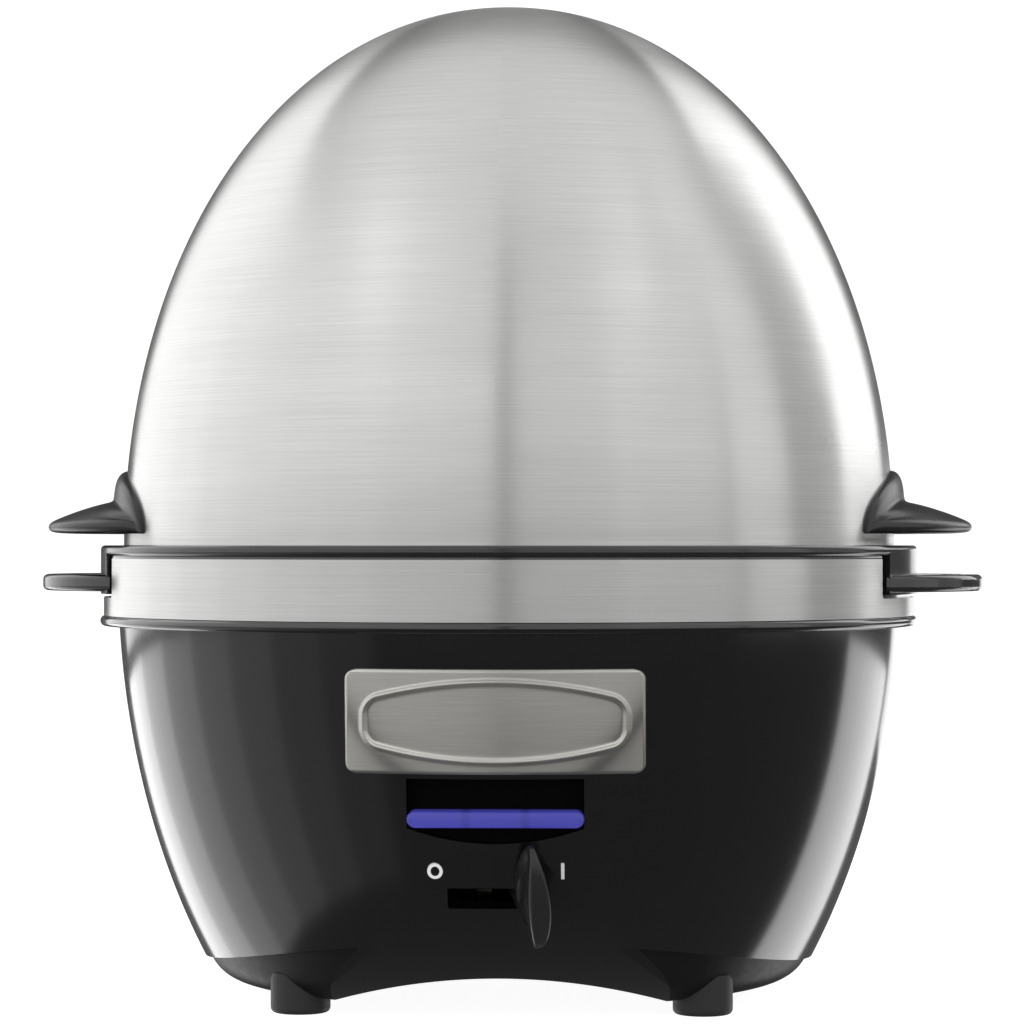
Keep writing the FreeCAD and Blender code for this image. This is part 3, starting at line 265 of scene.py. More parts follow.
# ---------------------------------------------------------------- mesh helpers
def make_piece(name, points, faces, body, slot_name, stands_for=(), sharp=30.0):
    mesh = bpy.data.meshes.new(name)
    mesh.from_pydata([Vector(point) * MM for point in points], [], faces)
    mesh.validate()
    mesh.materials.append(MATERIALS[slot_name])
    piece = bpy.data.objects.new(name, mesh)
    bpy.context.scene.collection.objects.link(piece)
    finish_mesh(mesh, sharp)
    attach(piece, body)
    if stands_for:
        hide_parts(*stands_for)
    return piece


def finish_mesh(mesh, sharp=30.0):
    """Faces outwards and smooth, with edges sharper than the given angle kept crisp."""
    shape = bmesh.new()
    shape.from_mesh(mesh)
    bmesh.ops.remove_doubles(shape, verts=shape.verts, dist=0.00001)
    bmesh.ops.recalc_face_normals(shape, faces=shape.faces)
    for edge in shape.edges:
        edge.smooth = not (len(edge.link_faces) == 2 and edge.calc_face_angle() > math.radians(sharp))
    for face in shape.faces:
        face.smooth = True
    shape.to_mesh(mesh)
    shape.free()


def boolean(piece, cutter):
    """Cuts the cutter out of a piece exactly, then removes the cutter."""
    change = piece.modifiers.new("cut", "BOOLEAN")
    change.operation = "DIFFERENCE"
    change.solver = "EXACT"
    change.object = cutter
    bpy.context.view_layer.update()
    result = bpy.data.meshes.new_from_object(piece.evaluated_get(bpy.context.evaluated_depsgraph_get()))
    piece.modifiers.remove(change)
    piece.data = result
    bpy.data.objects.remove(cutter)
    finish_mesh(result)


def helper(points, faces):
    """A bare mesh object for use as a cutter."""
    mesh = bpy.data.meshes.new("cutter")
    mesh.from_pydata([Vector(point) * MM for point in points], [], faces)
    piece = bpy.data.objects.new("cutter", mesh)
    bpy.context.scene.collection.objects.link(piece)
    finish_mesh(mesh)
    return piece


def lathe(outline, segments=256):
    """Closed outline of (radius, z) turned about Z; points on the axis share one vertex."""
    points = []
    rows = []
    for radius, z in outline:
        if radius < 0.001:
            rows.append([len(points)] * segments)
            points.append((0.0, 0.0, z))
            continue
        rows.append(list(range(len(points), len(points) + segments)))
        for i in range(segments):
            turn = 2.0 * math.pi * i / segments
            points.append((radius * math.cos(turn), radius * math.sin(turn), z))
    faces = []
    for row, above in zip(rows, rows[1:] + rows[:1]):
        for i in range(segments):
            j = (i + 1) % segments
            corners = []
            for corner in (row[i], row[j], above[j], above[i]):
                if corner not in corners:
                    corners.append(corner)
            if len(corners) > 2:
                faces.append(corners)
    return points, faces


def prism(outline, near, far, axis="Y"):
    """Closed outline of 2-D points carried along an axis, with both ends capped."""
    def place(a, b, c):
        return (a, c, b) if axis == "Y" else (c, a, b)
    count = len(outline)
    points = [place(a, b, near) for a, b in outline] + [place(a, b, far) for a, b in outline]
    faces = [list(range(count)), list(range(2 * count - 1, count - 1, -1))]
    for i in range(count):
        j = (i + 1) % count
        faces.append([i, i + count, j + count, j])
    return points, faces


def sheet_solid(front, back):
    """Closed solid between two grids of points of the same size, edges stitched."""
    rows = len(front)
    columns = len(front[0])
    points = [p for row in front for p in row] + [p for row in back for p in row]
    shift = rows * columns
    faces = []
    for r in range(rows - 1):
        for c in range(columns - 1):
            i = r * columns + c
            faces.append([i, i + 1, i + columns + 1, i + columns])
            faces.append([shift + i, shift + i + columns, shift + i + columns + 1, shift + i + 1])
    rim = list(range(columns))
    rim += [r * columns + columns - 1 for r in range(1, rows)]
    rim += [(rows - 1) * columns + c for c in range(columns - 2, -1, -1)]
    rim += [r * columns for r in range(rows - 2, 0, -1)]
    for a, b in zip(rim, rim[1:] + rim[:1]):
        faces.append([a, a + shift, b + shift, b])
    return points, faces


def smooth_step(low, high, value):
    share = min(1.0, max(0.0, (value - low) / (high - low)))
    return share * share * (3.0 - 2.0 * share)


# ---------------------------------------------------------------- pieces
LID_POWER = 2.07
LID_GAUGE = 0.8
HEM_WIDTH = 2.2
HEM_HEIGHT = 2.0
VENT_RADIUS = 2.8
VENT_OFFSET = 8.0


def dome_point(angle, inset):
    """Superellipse from the rim (0 degrees) to the top (90 degrees)."""
    turn = math.radians(angle)
    share = 2.0 / LID_POWER
    radius = (LID_RADIUS - inset) * max(0.0, math.cos(turn)) ** share
    height = (TOP_Z - RIM_Z - inset) * math.sin(turn) ** share
    return radius, RIM_Z + height


def lid_dome():
    """Thin steel dome with a rolled hem inside its rim and the steam vent near its top."""
    rows = 110
    outer = [dome_point(90.0 * i / rows, 0.0) for i in range(rows)] + [(0.0, TOP_Z)]
    inner = [dome_point(90.0 * i / rows, LID_GAUGE) for i in range(rows, 0, -1)]
    inner[0] = (0.0, TOP_Z - LID_GAUGE)
    inner = [point for point in inner if point[1] > RIM_Z + HEM_HEIGHT + 0.3]
    roll = []
    for step in range(13):
        turn = math.radians(90.0 - 180.0 * step / 12)
        roll.append((LID_RADIUS - HEM_WIDTH + 1.0 - math.cos(turn), RIM_Z + 1.0 + math.sin(turn)))
    outline = outer + inner + [(LID_RADIUS - LID_GAUGE, RIM_Z + HEM_HEIGHT)] + roll
    piece = make_piece("lid_dome", *lathe(outline, 240), "lid", "brushed_steel", ("lid_shell",))
    points, faces = lathe([(0.0, TOP_Z - 6.0), (VENT_RADIUS, TOP_Z - 6.0), (VENT_RADIUS, TOP_Z + 6.0),
                           (0.0, TOP_Z + 6.0)], 40)
    boolean(piece, helper([(x + VENT_OFFSET, y, z) for x, y, z in points], faces))
    return piece


BADGE_CORNER = 2.2
RIDGE_RISE = 0.75
RIDGE_HALF_WIDTH = 0.95
RIDGE_END_RADIUS = 3.0


def lozenge_distance(x, z):
    """Signed distance, near enough, to the badge's ridge line: flat ends, arched sides."""
    half = RIDGE_HALF_LENGTH
    crown = RIDGE_CROWN
    end = RIDGE_END
    sag = crown - end
    radius = (half * half + sag * sag) / (2.0 * sag)
    arch = math.hypot(x, abs(z) + radius - crown) - radius
    side = abs(x) - half
    inside = max(arch + RIDGE_END_RADIUS, side + RIDGE_END_RADIUS)
    if arch > -RIDGE_END_RADIUS and side > -RIDGE_END_RADIUS:
        return math.hypot(arch + RIDGE_END_RADIUS, side + RIDGE_END_RADIUS) - RIDGE_END_RADIUS
    return inside - RIDGE_END_RADIUS


def bowl_radius(z):
    return BOWL_RADIUS * math.sqrt(1.0 - ((z - BOWL_EQUATOR) / BOWL_DEPTH) ** 2)


BOWL_RADIUS = 91.1
BOWL_EQUATOR = 98.3
BOWL_DEPTH = 142.0
badge_low = low_of("badge_plate")
badge_high = high_of("badge_plate")
BADGE_GAUGE = 1.2
RIDGE_HALF_LENGTH = (badge_high.x - badge_low.x) / 2 - 3.9
RIDGE_CROWN = (badge_high.z - badge_low.z) / 2 - 2.6
RIDGE_END = RIDGE_CROWN - 3.9


def badge():
    """Steel badge bent to the bowl, its corners rounded and a soft lozenge ridge pressed up."""
    columns = 300
    rows = 110
    half_width = (badge_high.x - badge_low.x) / 2
    half_height = (badge_high.z - badge_low.z) / 2
    middle = (badge_high.z + badge_low.z) / 2
    edge_round = 0.35
    front = []
    back = []
    for r in range(rows + 1):
        z = -half_height + 2.0 * half_height * r / rows
        into_corner = max(0.0, abs(z) - (half_height - BADGE_CORNER))
        reach = half_width - BADGE_CORNER + math.sqrt(max(0.0, BADGE_CORNER ** 2 - into_corner ** 2))
        front_row = []
        back_row = []
        for c in range(columns + 1):
            x = reach * (2.0 * c / columns - 1.0)
            radius = bowl_radius(middle + z)
            skin = -math.sqrt(radius * radius - x * x)
            ridge = lozenge_distance(x, z)
            rise = RIDGE_RISE * (1.0 - smooth_step(0.0, RIDGE_HALF_WIDTH, abs(ridge)))
            rise -= 0.12 * smooth_step(0.0, 1.5, -ridge)
            rim = min(reach - abs(x), half_height - abs(z))
            rise -= edge_round * (1.0 - smooth_step(0.0, 0.5, rim))
            front_row.append((x, skin - BADGE_GAUGE - rise, middle + z))
            back_row.append((x, skin, middle + z))
        front.append(front_row)
        back.append(back_row)
    return make_piece("badge", *sheet_solid(front, back), "base", "badge_steel", ("badge_plate",), 50.0)


def light_bar():
    """Pill-shaped light guide with a rounded front edge."""
    low = low_of("led_lens")
    high = high_of("led_lens")
    half_length = (high.x - low.x) / 2
    half_height = (high.z - low.z) / 2
    middle = (high.z + low.z) / 2
    rings = []
    steps = 8
    round_edge = 0.9
    insets = [(0.0, high.y)]
    for i in range(steps + 1):
        turn = math.radians(90.0 * i / steps)
        insets.append((round_edge * (1.0 - math.cos(turn)), low.y + round_edge * (1.0 - math.sin(turn))))
    for inset, y in insets:
        radius = half_height - inset
        ring = []
        for i in range(64):
            turn = 2.0 * math.pi * (i + 0.5) / 64
            shift = half_length - half_height if math.cos(turn) > 0 else half_height - half_length
            ring.append((shift + radius * math.cos(turn), y, middle + radius * math.sin(turn)))
        rings.append(ring)
    return make_piece("light_bar", *stacked(rings), "base", "lens_blue", ("led_lens",), 40.0)


def rounded(corners, steps=6):
    """Closed 2-D outline from (a, b, fillet) corners, each rounded to its fillet."""
    outline = []
    count = len(corners)
    for i, (a, b, fillet) in enumerate(corners):
        here = Vector((a, b))
        if fillet <= 0.0:
            outline.append((a, b))
            continue
        to_before = (Vector(corners[i - 1][:2]) - here).normalized()
        to_after = (Vector(corners[(i + 1) % count][:2]) - here).normalized()
        half = to_before.angle(to_after) / 2.0
        centre = here + (to_before + to_after).normalized() * (fillet / math.sin(half))
        start = here + to_before * (fillet / math.tan(half)) - centre
        end = here + to_after * (fillet / math.tan(half)) - centre
        for step in range(steps + 1):
            spoke = start.slerp(end, step / steps)
            outline.append((centre.x + spoke.x, centre.y + spoke.y))
    return outline


def circle_through(first, second, third):
    """Centre and radius of the circle through three 2-D points."""
    (ax, ay), (bx, by), (cx, cy) = first, second, third
    scale = 2.0 * (ax * (by - cy) + bx * (cy - ay) + cx * (ay - by))
    a2 = ax * ax + ay * ay
    b2 = bx * bx + by * by
    c2 = cx * cx + cy * cy
    x = (a2 * (by - cy) + b2 * (cy - ay) + c2 * (ay - by)) / scale
    y = (a2 * (cx - bx) + b2 * (ax - cx) + c2 * (bx - ax)) / scale
    return x, y, math.hypot(ax - x, ay - y)


WALL = 2.6
FLANGE_TOP = low_of("trim_band").z
FLANGE_LOW = FLANGE_TOP - 2.5
FLANGE_RADIUS = high_of("base_housing").y
COLLAR_TOP = high_of("base_housing").z
COLLAR_RADIUS = BAND_RADIUS - 0.7
COLLAR_BORE = COLLAR_RADIUS - 3.0
LEDGE_TOP = low_of("plate_seal").z
LEDGE_BORE = COLLAR_BORE - 3.3
SEAM_Z = 8.7
SEAM_CURVE = 290.0
SCOOP_TOP = 46.0
PANEL_TOP = high_of("control_panel").z
scoop_levels = ((SCOOP_TOP, 0.0), (25.0, 3.0), (8.0, 11.8))
SCOOP_Y, SCOOP_Z, SCOOP_RADIUS = circle_through(*[(depth - bowl_radius(z), z) for z, depth in scoop_levels])
RACK_TURN = 3.5
TAB_HALF_ANGLE = 21.3
NOTCH_GAP_ANGLE = 1.7
NOTCH_LOW = 91.7
NOTCH_DEPTH = 1.9
GLAND_RADIUS = 6.0
CUT_PAST = 5.0              # a cutter runs this far past the surface
LEDGE_THICKNESS = 2.5
SLOT_ZONE_LOW = 20.0        # the housing leaves the panel free from here up
SLOT_ZONE_HALF_WIDTH = 16.0


def scoop_y(z):
    return SCOOP_Y - math.sqrt(SCOOP_RADIUS ** 2 - (z - SCOOP_Z) ** 2)


def seam_z(y):
    return SEAM_Z + SEAM_CURVE - math.sqrt(SEAM_CURVE ** 2 - y * y)


POCKET_HALF = 18.8
POCKET_TOP = 54.4
POCKET_SIDE = 43.7
POCKET_LOW = 40.5
POCKET_BACK = 6.0 - bowl_radius(45.7)


def pocket_outline(growth=0.0):
    """D-shaped window in (x, z): straight top and sides, an arc below."""
    half = POCKET_HALF + growth
    drop = POCKET_SIDE - POCKET_LOW + growth
    radius = (half * half + drop * drop) / (2.0 * drop)
    span = math.asin(half / radius)
    outline = [(half, POCKET_TOP + growth), (-half, POCKET_TOP + growth)]
    for step in range(25):
        turn = span * (step / 12.0 - 1.0)
        outline.append((radius * math.sin(turn), POCKET_LOW - growth + radius - radius * math.cos(turn)))
    return outline


def notch_cutter(middle):
    """Sector that lets a rack tab into the collar's outside."""
    half = TAB_HALF_ANGLE + NOTCH_GAP_ANGLE
    outline = []
    for radius, order in ((COLLAR_RADIUS + 3.0, 1.0), (COLLAR_RADIUS - NOTCH_DEPTH, -1.0)):
        for step in range(25):
            turn = math.radians(middle + order * half * (step / 12.0 - 1.0))
            outline.append((radius * math.cos(turn), radius * math.sin(turn)))
    count = len(outline)
    points = [(x, y, NOTCH_LOW) for x, y in outline] + [(x, y, COLLAR_TOP + CUT_PAST) for x, y in outline]
    faces = [list(range(count)), list(range(2 * count - 1, count - 1, -1))]
    faces += [[i, i + count, (i + 1) % count + count, (i + 1) % count] for i in range(count)]
    return helper(points, faces)


def panel_half_width(z):
    """Half the width of the front panel, where the scoop meets the bowl."""
    return math.sqrt(max(0.25, bowl_radius(z) ** 2 - scoop_y(z) ** 2))


def housing():
    """Bowl, flange and collar in one lathed skin, then cut by the seam, scoop, pocket and notches."""
    low = 3.0
    rows = 70
    skin = [low + (FLANGE_LOW - low) * i / rows for i in range(rows + 1)]
    corners = [(bowl_radius(z), z, 0.0) for z in skin[:-1]]
    corners += [(bowl_radius(FLANGE_LOW), FLANGE_LOW, 0.0), (FLANGE_RADIUS, FLANGE_LOW, 1.1),
                (FLANGE_RADIUS, FLANGE_TOP, 1.1), (COLLAR_RADIUS, FLANGE_TOP, 0.0),
                (COLLAR_RADIUS, COLLAR_TOP, 0.4), (COLLAR_BORE, COLLAR_TOP, 0.4),
                (COLLAR_BORE, LEDGE_TOP, 0.3), (LEDGE_BORE, LEDGE_TOP, 0.3),
                (LEDGE_BORE, LEDGE_TOP - LEDGE_THICKNESS, 0.3),
                (COLLAR_BORE - 2.0, LEDGE_TOP - LEDGE_THICKNESS, 0.3)]
    corners += [(bowl_radius(z) - WALL, z, 0.0) for z in reversed(skin[::3])]
    piece = make_piece("housing", *lathe(rounded(corners), 288), "base", "gloss_black", ("base_housing",))
    reach = 1.2 * BOWL_RADIUS
    steps = [reach * (i / 30.0 - 1.0) for i in range(61)]
    below = [(y, seam_z(y)) for y in steps] + [(reach, -9.0), (-reach, -9.0)]
    boolean(piece, helper(*prism(below, -reach, reach, "X")))
    levels = [2.0 + (SCOOP_TOP - 2.0) * i / 40.0 for i in range(41)]
    ahead = [(scoop_y(z), z) for z in levels] + [(-reach, SCOOP_TOP), (-reach, 2.0)]
    boolean(piece, helper(*prism(ahead, -reach, reach, "X")))
    boolean(piece, helper(*prism(pocket_outline(), -reach, POCKET_BACK)))
    zone_height = PANEL_TOP - 0.3 - SLOT_ZONE_LOW
    heights = [SLOT_ZONE_LOW + zone_height * i / 12.0 for i in range(13)]
    right_side = [(min(SLOT_ZONE_HALF_WIDTH, panel_half_width(z) - 0.2), z) for z in heights]
    behind_slot = right_side + [(-x, z) for x, z in reversed(right_side)]
    boolean(piece, helper(*prism(behind_slot, -reach, -0.5 * BOWL_RADIUS)))
    for middle in (-RACK_TURN, 180.0 - RACK_TURN):
        boolean(piece, notch_cutter(middle))
    gland = low_of("cord_gland")
    gland_high = high_of("cord_gland")
    gland_middle = (gland.z + gland_high.z) / 2
    bore = []
    for i in range(48):
        turn = 2.0 * math.pi * i / 48
        bore.append((GLAND_RADIUS * math.cos(turn), gland_middle + GLAND_RADIUS * math.sin(turn)))
    boolean(piece, helper(*prism(bore, gland.y - CUT_PAST, gland_high.y + CUT_PAST)))
    return piece


def scoop_apron():
    """The scooped part of the front above the panel, up to where the scoop runs out."""
    front = []
    back = []
    rows = 16
    columns = 60
    for r in range(rows + 1):
        z = PANEL_TOP + (SCOOP_TOP - PANEL_TOP) * r / rows
        y = scoop_y(z)
        half = panel_half_width(z) + 0.25
        front.append([(half * (2.0 * c / columns - 1.0), y + 0.02, z) for c in range(columns + 1)])
        back.append([(x, y + 2.4, z) for x, y, z in front[-1]])
    piece = make_piece("scoop_apron", *sheet_solid(front, back), "base", "gloss_black")
    boolean(piece, helper(*prism(pocket_outline(), -1.2 * BOWL_RADIUS, POCKET_BACK)))
    return piece


def pocket_shade_liner():
    """Cup behind the light bar in a near-black, barely reflective finish: painted shade for the recess round the
    light bar.
    """
    def ring(growth, y_of):
        return [(x, y_of(x, z), z) for x, z in pocket_outline(growth)]

    def just_inside(x, z):
        scooped = scoop_y(z) if z < SCOOP_TOP else -2.0 * BOWL_RADIUS
        return max(-math.sqrt(bowl_radius(z) ** 2 - x * x), scooped) + 0.5
    rings = [ring(-0.03, lambda x, z: POCKET_BACK - 0.03), ring(-0.03, just_inside),
             ring(1.4, just_inside), ring(1.4, lambda x, z: POCKET_BACK + 1.8)]
    return make_piece("pocket_shade_liner", *stacked(rings), "base", "pocket_black")


HANDLE_HALF_ANGLE = 25.9
HANDLE_LOW = low_of("lid_handle_right").z
HANDLE_TIP = high_of("lid_handle_right").x
PAD_HEIGHT = high_of("lid_handle_right").z - HANDLE_LOW
PAD_THICKNESS = 2.9
WING_ROOT = 7.3


def dome_radius(z):
    share = max(0.0, (z - RIM_Z) / (TOP_Z - RIM_Z))
    return LID_RADIUS * (1.0 - share ** LID_POWER) ** (1.0 / LID_POWER)


def handle_section(angle):
    """Section of a lid handle at an angle from its middle: (out from the dome, up from its foot)."""
    share = min(1.0, abs(angle) / HANDLE_HALF_ANGLE)
    bow = math.sqrt(max(0.0, 1.0 - share * share))
    half = LID_RADIUS * math.sin(math.radians(HANDLE_HALF_ANGLE))
    near = LID_RADIUS * math.cos(math.radians(HANDLE_HALF_ANGLE))
    sag = HANDLE_TIP - near
    plan = (sag * sag + half * half) / (2.0 * sag)
    centre = HANDLE_TIP - plan
    turn = math.radians(angle)
    edge = centre * math.cos(turn) + math.sqrt(plan * plan - (centre * math.sin(turn)) ** 2)
    pad = PAD_THICKNESS * bow ** 0.6
    height = PAD_HEIGHT * bow
    reach = max(edge - LID_RADIUS, pad)
    root = min(WING_ROOT, 0.56 * height)
    nose = min(1.6, 0.45 * root)
    run = max(0.0, reach - 1.6 - pad)
    return [(-2.0, 0.0), (0.6 * reach, 0.0), (reach - nose, 0.15 * nose), (reach - 0.3 * nose, 0.45 * nose),
            (reach, nose), (reach - 0.25 * nose, 1.6 * nose), (pad + run, 2.05 * nose),
            (pad + 0.72 * run, root * 0.62 + nose * 0.2), (pad + 0.45 * run, root * 0.83),
            (pad + 0.22 * run, root * 0.95), (pad + 0.07 * run, root), (pad, root * 1.05),
            (pad * 0.96, root + 0.12 * (height - root)), (pad * 0.94, root + 0.4 * (height - root)),
            (pad * 0.86, root + 0.68 * (height - root)), (pad * 0.66, root + 0.88 * (height - root)),
            (pad * 0.36, root + 0.975 * (height - root)), (0.0, height), (-2.0, height)]


def lid_handle(name, side):
    """Leaf-shaped pad on the dome that runs out into a thinning wing."""
    rings = []
    sections = 60
    for i in range(sections + 1):
        share = math.sin(math.radians(180.0 * i / sections - 90.0))
        angle = HANDLE_HALF_ANGLE * 0.998 * share
        turn = math.radians(angle) + (0.0 if side > 0 else math.pi)
        ring = []
        for out, up in handle_section(angle):
            radius = dome_radius(HANDLE_LOW + up) + out
            ring.append((radius * math.cos(turn), radius * math.sin(turn), HANDLE_LOW + up))
        rings.append(ring)
    piece = make_piece(name, *stacked(rings), "lid", "satin_black", ("lid_" + name,), 65.0)
    smoother = piece.modifiers.new("smoother", "SUBSURF")
    smoother.levels = 2
    smoother.render_levels = 2
    return piece


switch_joint = [joint for joint in frame["joints"] if joint["name"] == "switch_turn"][0]
SWITCH_PIVOT = Vector(switch_joint["pos_m"]) / MM
SWITCH_AXIS = Vector(switch_joint["axis"]).normalized()
SWITCH_IN = Vector((1.0, 0.0, 0.0)).cross(SWITCH_AXIS) * -1.0
SWITCH_TURN = -min(switch_joint["range_deg"]) / 2.0
PADDLE_REACH = 27.2
PADDLE_RISE = 5.4
PADDLE_HALF_HEIGHT = 12.3
PADDLE_HALF_DEPTH = 7.0
PADDLE_HALF_THICKNESS = 2.4
ARM_HALF = 2.0


def in_switch(point):
    """From the lever's own frame (across, inwards, along the axis) to the row frame."""
    x, y, z = point
    turn = math.radians(SWITCH_TURN)
    across = x * math.cos(turn) - y * math.sin(turn)
    inwards = x * math.sin(turn) + y * math.cos(turn)
    return SWITCH_PIVOT + Vector((across, 0.0, 0.0)) + SWITCH_IN * inwards + SWITCH_AXIS * z


def joined(*parts):
    points = []
    faces = []
    for more_points, more_faces in parts:
        faces += [[i + len(points) for i in face] for face in more_faces]
        points += more_points
    return points, faces


def stacked(rings):
    """Closed skin over rings of equal length, with both ends capped."""
    count = len(rings[0])
    points = [point for ring in rings for point in ring]
    faces = [list(range(count)), list(range(len(points) - count, len(points)))]
    for r in range(len(rings) - 1):
        for i in range(count):
            j = (i + 1) % count
            faces.append([r * count + i, r * count + j, (r + 1) * count + j, (r + 1) * count + i])
    return points, faces


def paddle_ring(across, inset):
    """One outline of the leaf-shaped paddle: narrow at the top, full below its middle."""
    ring = []
    for i in range(96):
        turn = 2.0 * math.pi * i / 96
        up = math.cos(turn)
        taper = 1.0 - 0.3 * up
        thin = 1.0 - 0.7 * up * up
        ring.append((across * thin, -PADDLE_REACH + (PADDLE_HALF_DEPTH * taper - inset) * math.sin(turn),
                     PADDLE_RISE + (PADDLE_HALF_HEIGHT - inset) * up))
    return ring


def lever():
    """Leaf-shaped paddle with rounded edges on a bar from the hub."""
    steps = 8
    edge = 1.3
    flat = PADDLE_HALF_THICKNESS
    rings = [paddle_ring(-flat - 0.35, 4.2), paddle_ring(-flat - 0.15, 2.6)]
    for i in range(steps + 1):
        turn = math.radians(90.0 * i / steps)
        rings.append(paddle_ring(-flat + edge * (1.0 - math.cos(turn)), edge * (1.0 - math.sin(turn))))
    for i in range(steps, -1, -1):
        turn = math.radians(90.0 * i / steps)
        rings.append(paddle_ring(flat - edge * (1.0 - math.cos(turn)), edge * (1.0 - math.sin(turn))))
    rings += [paddle_ring(flat + 0.15, 2.6), paddle_ring(flat + 0.35, 4.2)]
    arm = []
    for reach in (-PADDLE_REACH, -2.0):
        loop = []
        for i in range(32):
            turn = 2.0 * math.pi * (i + 0.5) / 32
            x = ARM_HALF * max(-1.0, min(1.0, 1.25 * math.cos(turn)))
            z = 1.1 * ARM_HALF * max(-1.0, min(1.0, 1.25 * math.sin(turn)))
            loop.append((x, reach, z))
        arm.append(loop)
    hub = lathe([(2.0, -2.7), (5.2, -2.7), (5.5, -2.4), (5.5, 2.4), (5.2, 2.7), (2.0, 2.7)], 64)
    points, faces = joined(stacked(rings), stacked(arm), hub)
    return make_piece("lever", [in_switch(point) for point in points], faces, "switch", "satin_black",
                      ("switch_lever",), 40.0)


# ---------------------------------------------------------------- camera, floor, light
CAMERA_DISTANCE = 850.0
CAMERA_HEIGHT = 104.0
CAMERA_SIDE = 2.0
AIM = Vector((0.7, 0.0, 111.4))
FRAME_WIDTH = 239.9
SENSOR = 36.0

camera_data = bpy.data.cameras.new("camera")
camera = bpy.data.objects.new("camera", camera_data)
bpy.context.scene.collection.objects.link(camera)
turn = math.radians(CAMERA_SIDE)
camera_place = Vector((CAMERA_DISTANCE * math.sin(turn), -CAMERA_DISTANCE * math.cos(turn), CAMERA_HEIGHT))
camera.location = camera_place * MM
camera.rotation_euler = (AIM - camera_place).to_track_quat("-Z", "Y").to_euler()
camera_data.sensor_width = SENSOR
camera_data.lens = SENSOR * CAMERA_DISTANCE / FRAME_WIDTH
camera_data.clip_start = 0.02
bpy.context.scene.camera = camera


def area_light(name, place, target, width, height, power, colour=(1.0, 1.0, 1.0)):
    data = bpy.data.lights.new(name, "AREA")
    data.shape = "RECTANGLE"
    data.size = width
    data.size_y = height
    data.energy = power
    data.color = colour
    light = bpy.data.objects.new(name, data)
    bpy.context.scene.collection.objects.link(light)
    light.location = place
    light.rotation_euler = (Vector(target) - Vector(place)).to_track_quat("-Z", "Y").to_euler()
    return light


def softbox(name, azimuth, distance, low, high, width, radiance):
    """Upright softbox round the object: azimuth 0 is in front, positive towards +X."""
    turn = math.radians(azimuth)
    middle = (low + high) / 2
    place = (distance * math.sin(turn), -distance * math.cos(turn), middle)
    power = radiance * math.pi * width * (high - low)
    light = area_light(name, place, (0.0, 0.0, middle), width, high - low, power)
    light.visible_camera = False
    return light


# Low and high ends of the upright softboxes, in metres
UPPER = (0.0, 1.2)
LOWER = (-0.7, 0.0)
FRONT = (0.0, 1.5)
# One even arc of boxes from behind on the left to the middle, brightest behind
ARC_STEP = 16.37
ARC_DISTANCE = 1.3
ARC_RADIANCE = (1.3, 1.28, 1.2, 1.08, 1.02, 0.98, 0.94, 0.9, 0.86)
ARC_WIDTH = 2.0 * ARC_DISTANCE * math.tan(math.radians(ARC_STEP / 2.0))
for order, radiance in enumerate(ARC_RADIANCE):
    softbox(f"arc_left_{order}", -139.85 + ARC_STEP * order, ARC_DISTANCE, 0.0, 1.45, ARC_WIDTH, radiance)
softbox("front_right", 18.6, 1.5, *FRONT, 0.88, 0.8)
softbox("front_right_outer", 50.8, 1.5, *FRONT, 0.88, 0.84)
softbox("side_right", 78.0, 0.95, *UPPER, 0.36, 0.88)
softbox("low_edge_right", 162.0, 0.95, -0.05, 0.14, 0.4, 1.2)
softbox("dim_right", 101.0, 0.95, *UPPER, 0.4, 0.42)
softbox("rear_right", 131.0, 0.95, 0.16, 1.2, 0.56, 1.7)
softbox("low_rear_right", 131.0, 0.95, *LOWER, 0.56, 1.6)
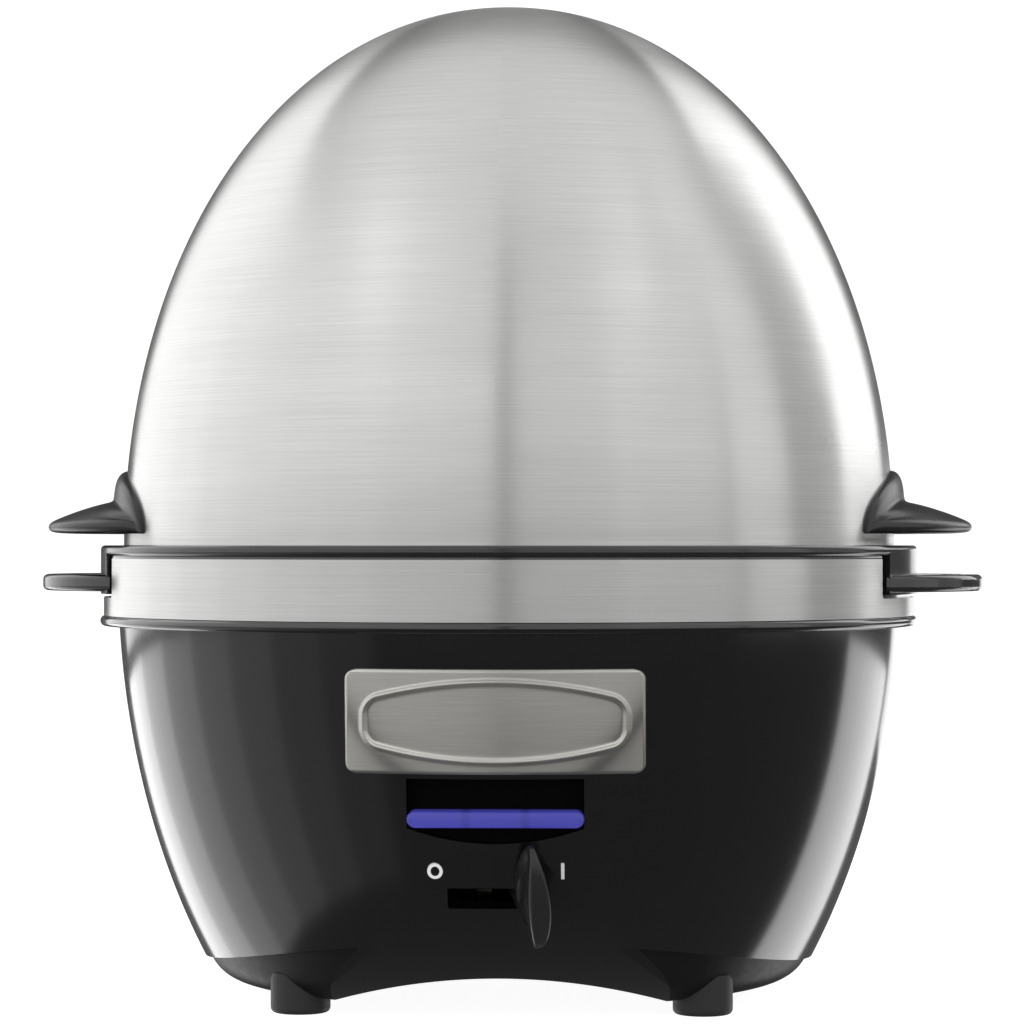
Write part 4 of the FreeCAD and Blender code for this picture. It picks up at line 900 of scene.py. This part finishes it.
# The sweep's glow on the bowl's left side fades towards the front
LOW_STEP = 16.0
LOW_WIDTH = 0.275
LOW_RADIANCE = (1.9, 1.35, 0.85, 0.55, 0.36, 0.2, 0.1)
for order, radiance in enumerate(LOW_RADIANCE):
    softbox(f"low_left_{order}", -140.0 + LOW_STEP * order, 0.95, *LOWER, LOW_WIDTH, radiance)
area_light("top_softbox", (0.0, -0.15, 1.35), (0, 0, 0.15), 2.2, 1.8, 10.0)
sweep_light = area_light("sweep_light", (0.0, 0.55, 1.45), (0, 0.55, 0.0), 2.2, 1.2, 11.0)
sweep_light.visible_glossy = False

world = bpy.data.worlds.new("studio")
world.use_nodes = True
world.node_tree.nodes["Background"].inputs["Color"].default_value = (1.0, 1.0, 1.0, 1.0)
world.node_tree.nodes["Background"].inputs["Strength"].default_value = 0.1
bpy.context.scene.world = world
bpy.context.scene.view_settings.view_transform = "Standard"


def stage_grid(name, points, faces, material):
    mesh = bpy.data.meshes.new(name)
    mesh.from_pydata(points, [], faces)
    mesh.materials.append(material)
    piece = bpy.data.objects.new(name, mesh)
    bpy.context.scene.collection.objects.link(piece)
    piece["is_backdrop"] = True
    return piece


def studio_cove():
    """Pale floor that curves up into a pale backdrop."""
    half_width = 4.0
    front = -4.0
    back = 4.0
    bend = 0.5
    height = 3.0
    path = [(front, FLOOR_Z * MM), (back - bend, FLOOR_Z * MM)]
    for step in range(1, 17):
        angle = math.radians(90.0 * step / 16)
        path.append((back - bend + bend * math.sin(angle), FLOOR_Z * MM + bend - bend * math.cos(angle)))
    path.append((back, height))
    points = []
    for y, z in path:
        points += [(-half_width, y, z), (half_width, y, z)]
    faces = [(2 * i, 2 * i + 1, 2 * i + 3, 2 * i + 2) for i in range(len(path) - 1)]
    material = moulded("pale_paper", (0.4, 0.4, 0.4), 0.9, 60.0, 0.00005, 0.02)
    paper = material.node_tree.nodes["Principled BSDF"]
    paper.inputs["Emission Color"].default_value = (1.0, 1.0, 1.0, 1.0)
    paper.inputs["Emission Strength"].default_value = 0.95
    piece = stage_grid("studio_cove", points, faces, material)
    for face in piece.data.polygons:
        face.use_smooth = True
    return piece


lid_dome()
badge()
light_bar()
lever()
housing()
scoop_apron()
pocket_shade_liner()
lid_handle("handle_right", 1.0)
lid_handle("handle_left", -1.0)
studio_cove().visible_glossy = False
sizes = [list(cad_low), list(cad_high)]
visual_low, visual_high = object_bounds()
sizes += [list(visual_low), list(visual_high)]
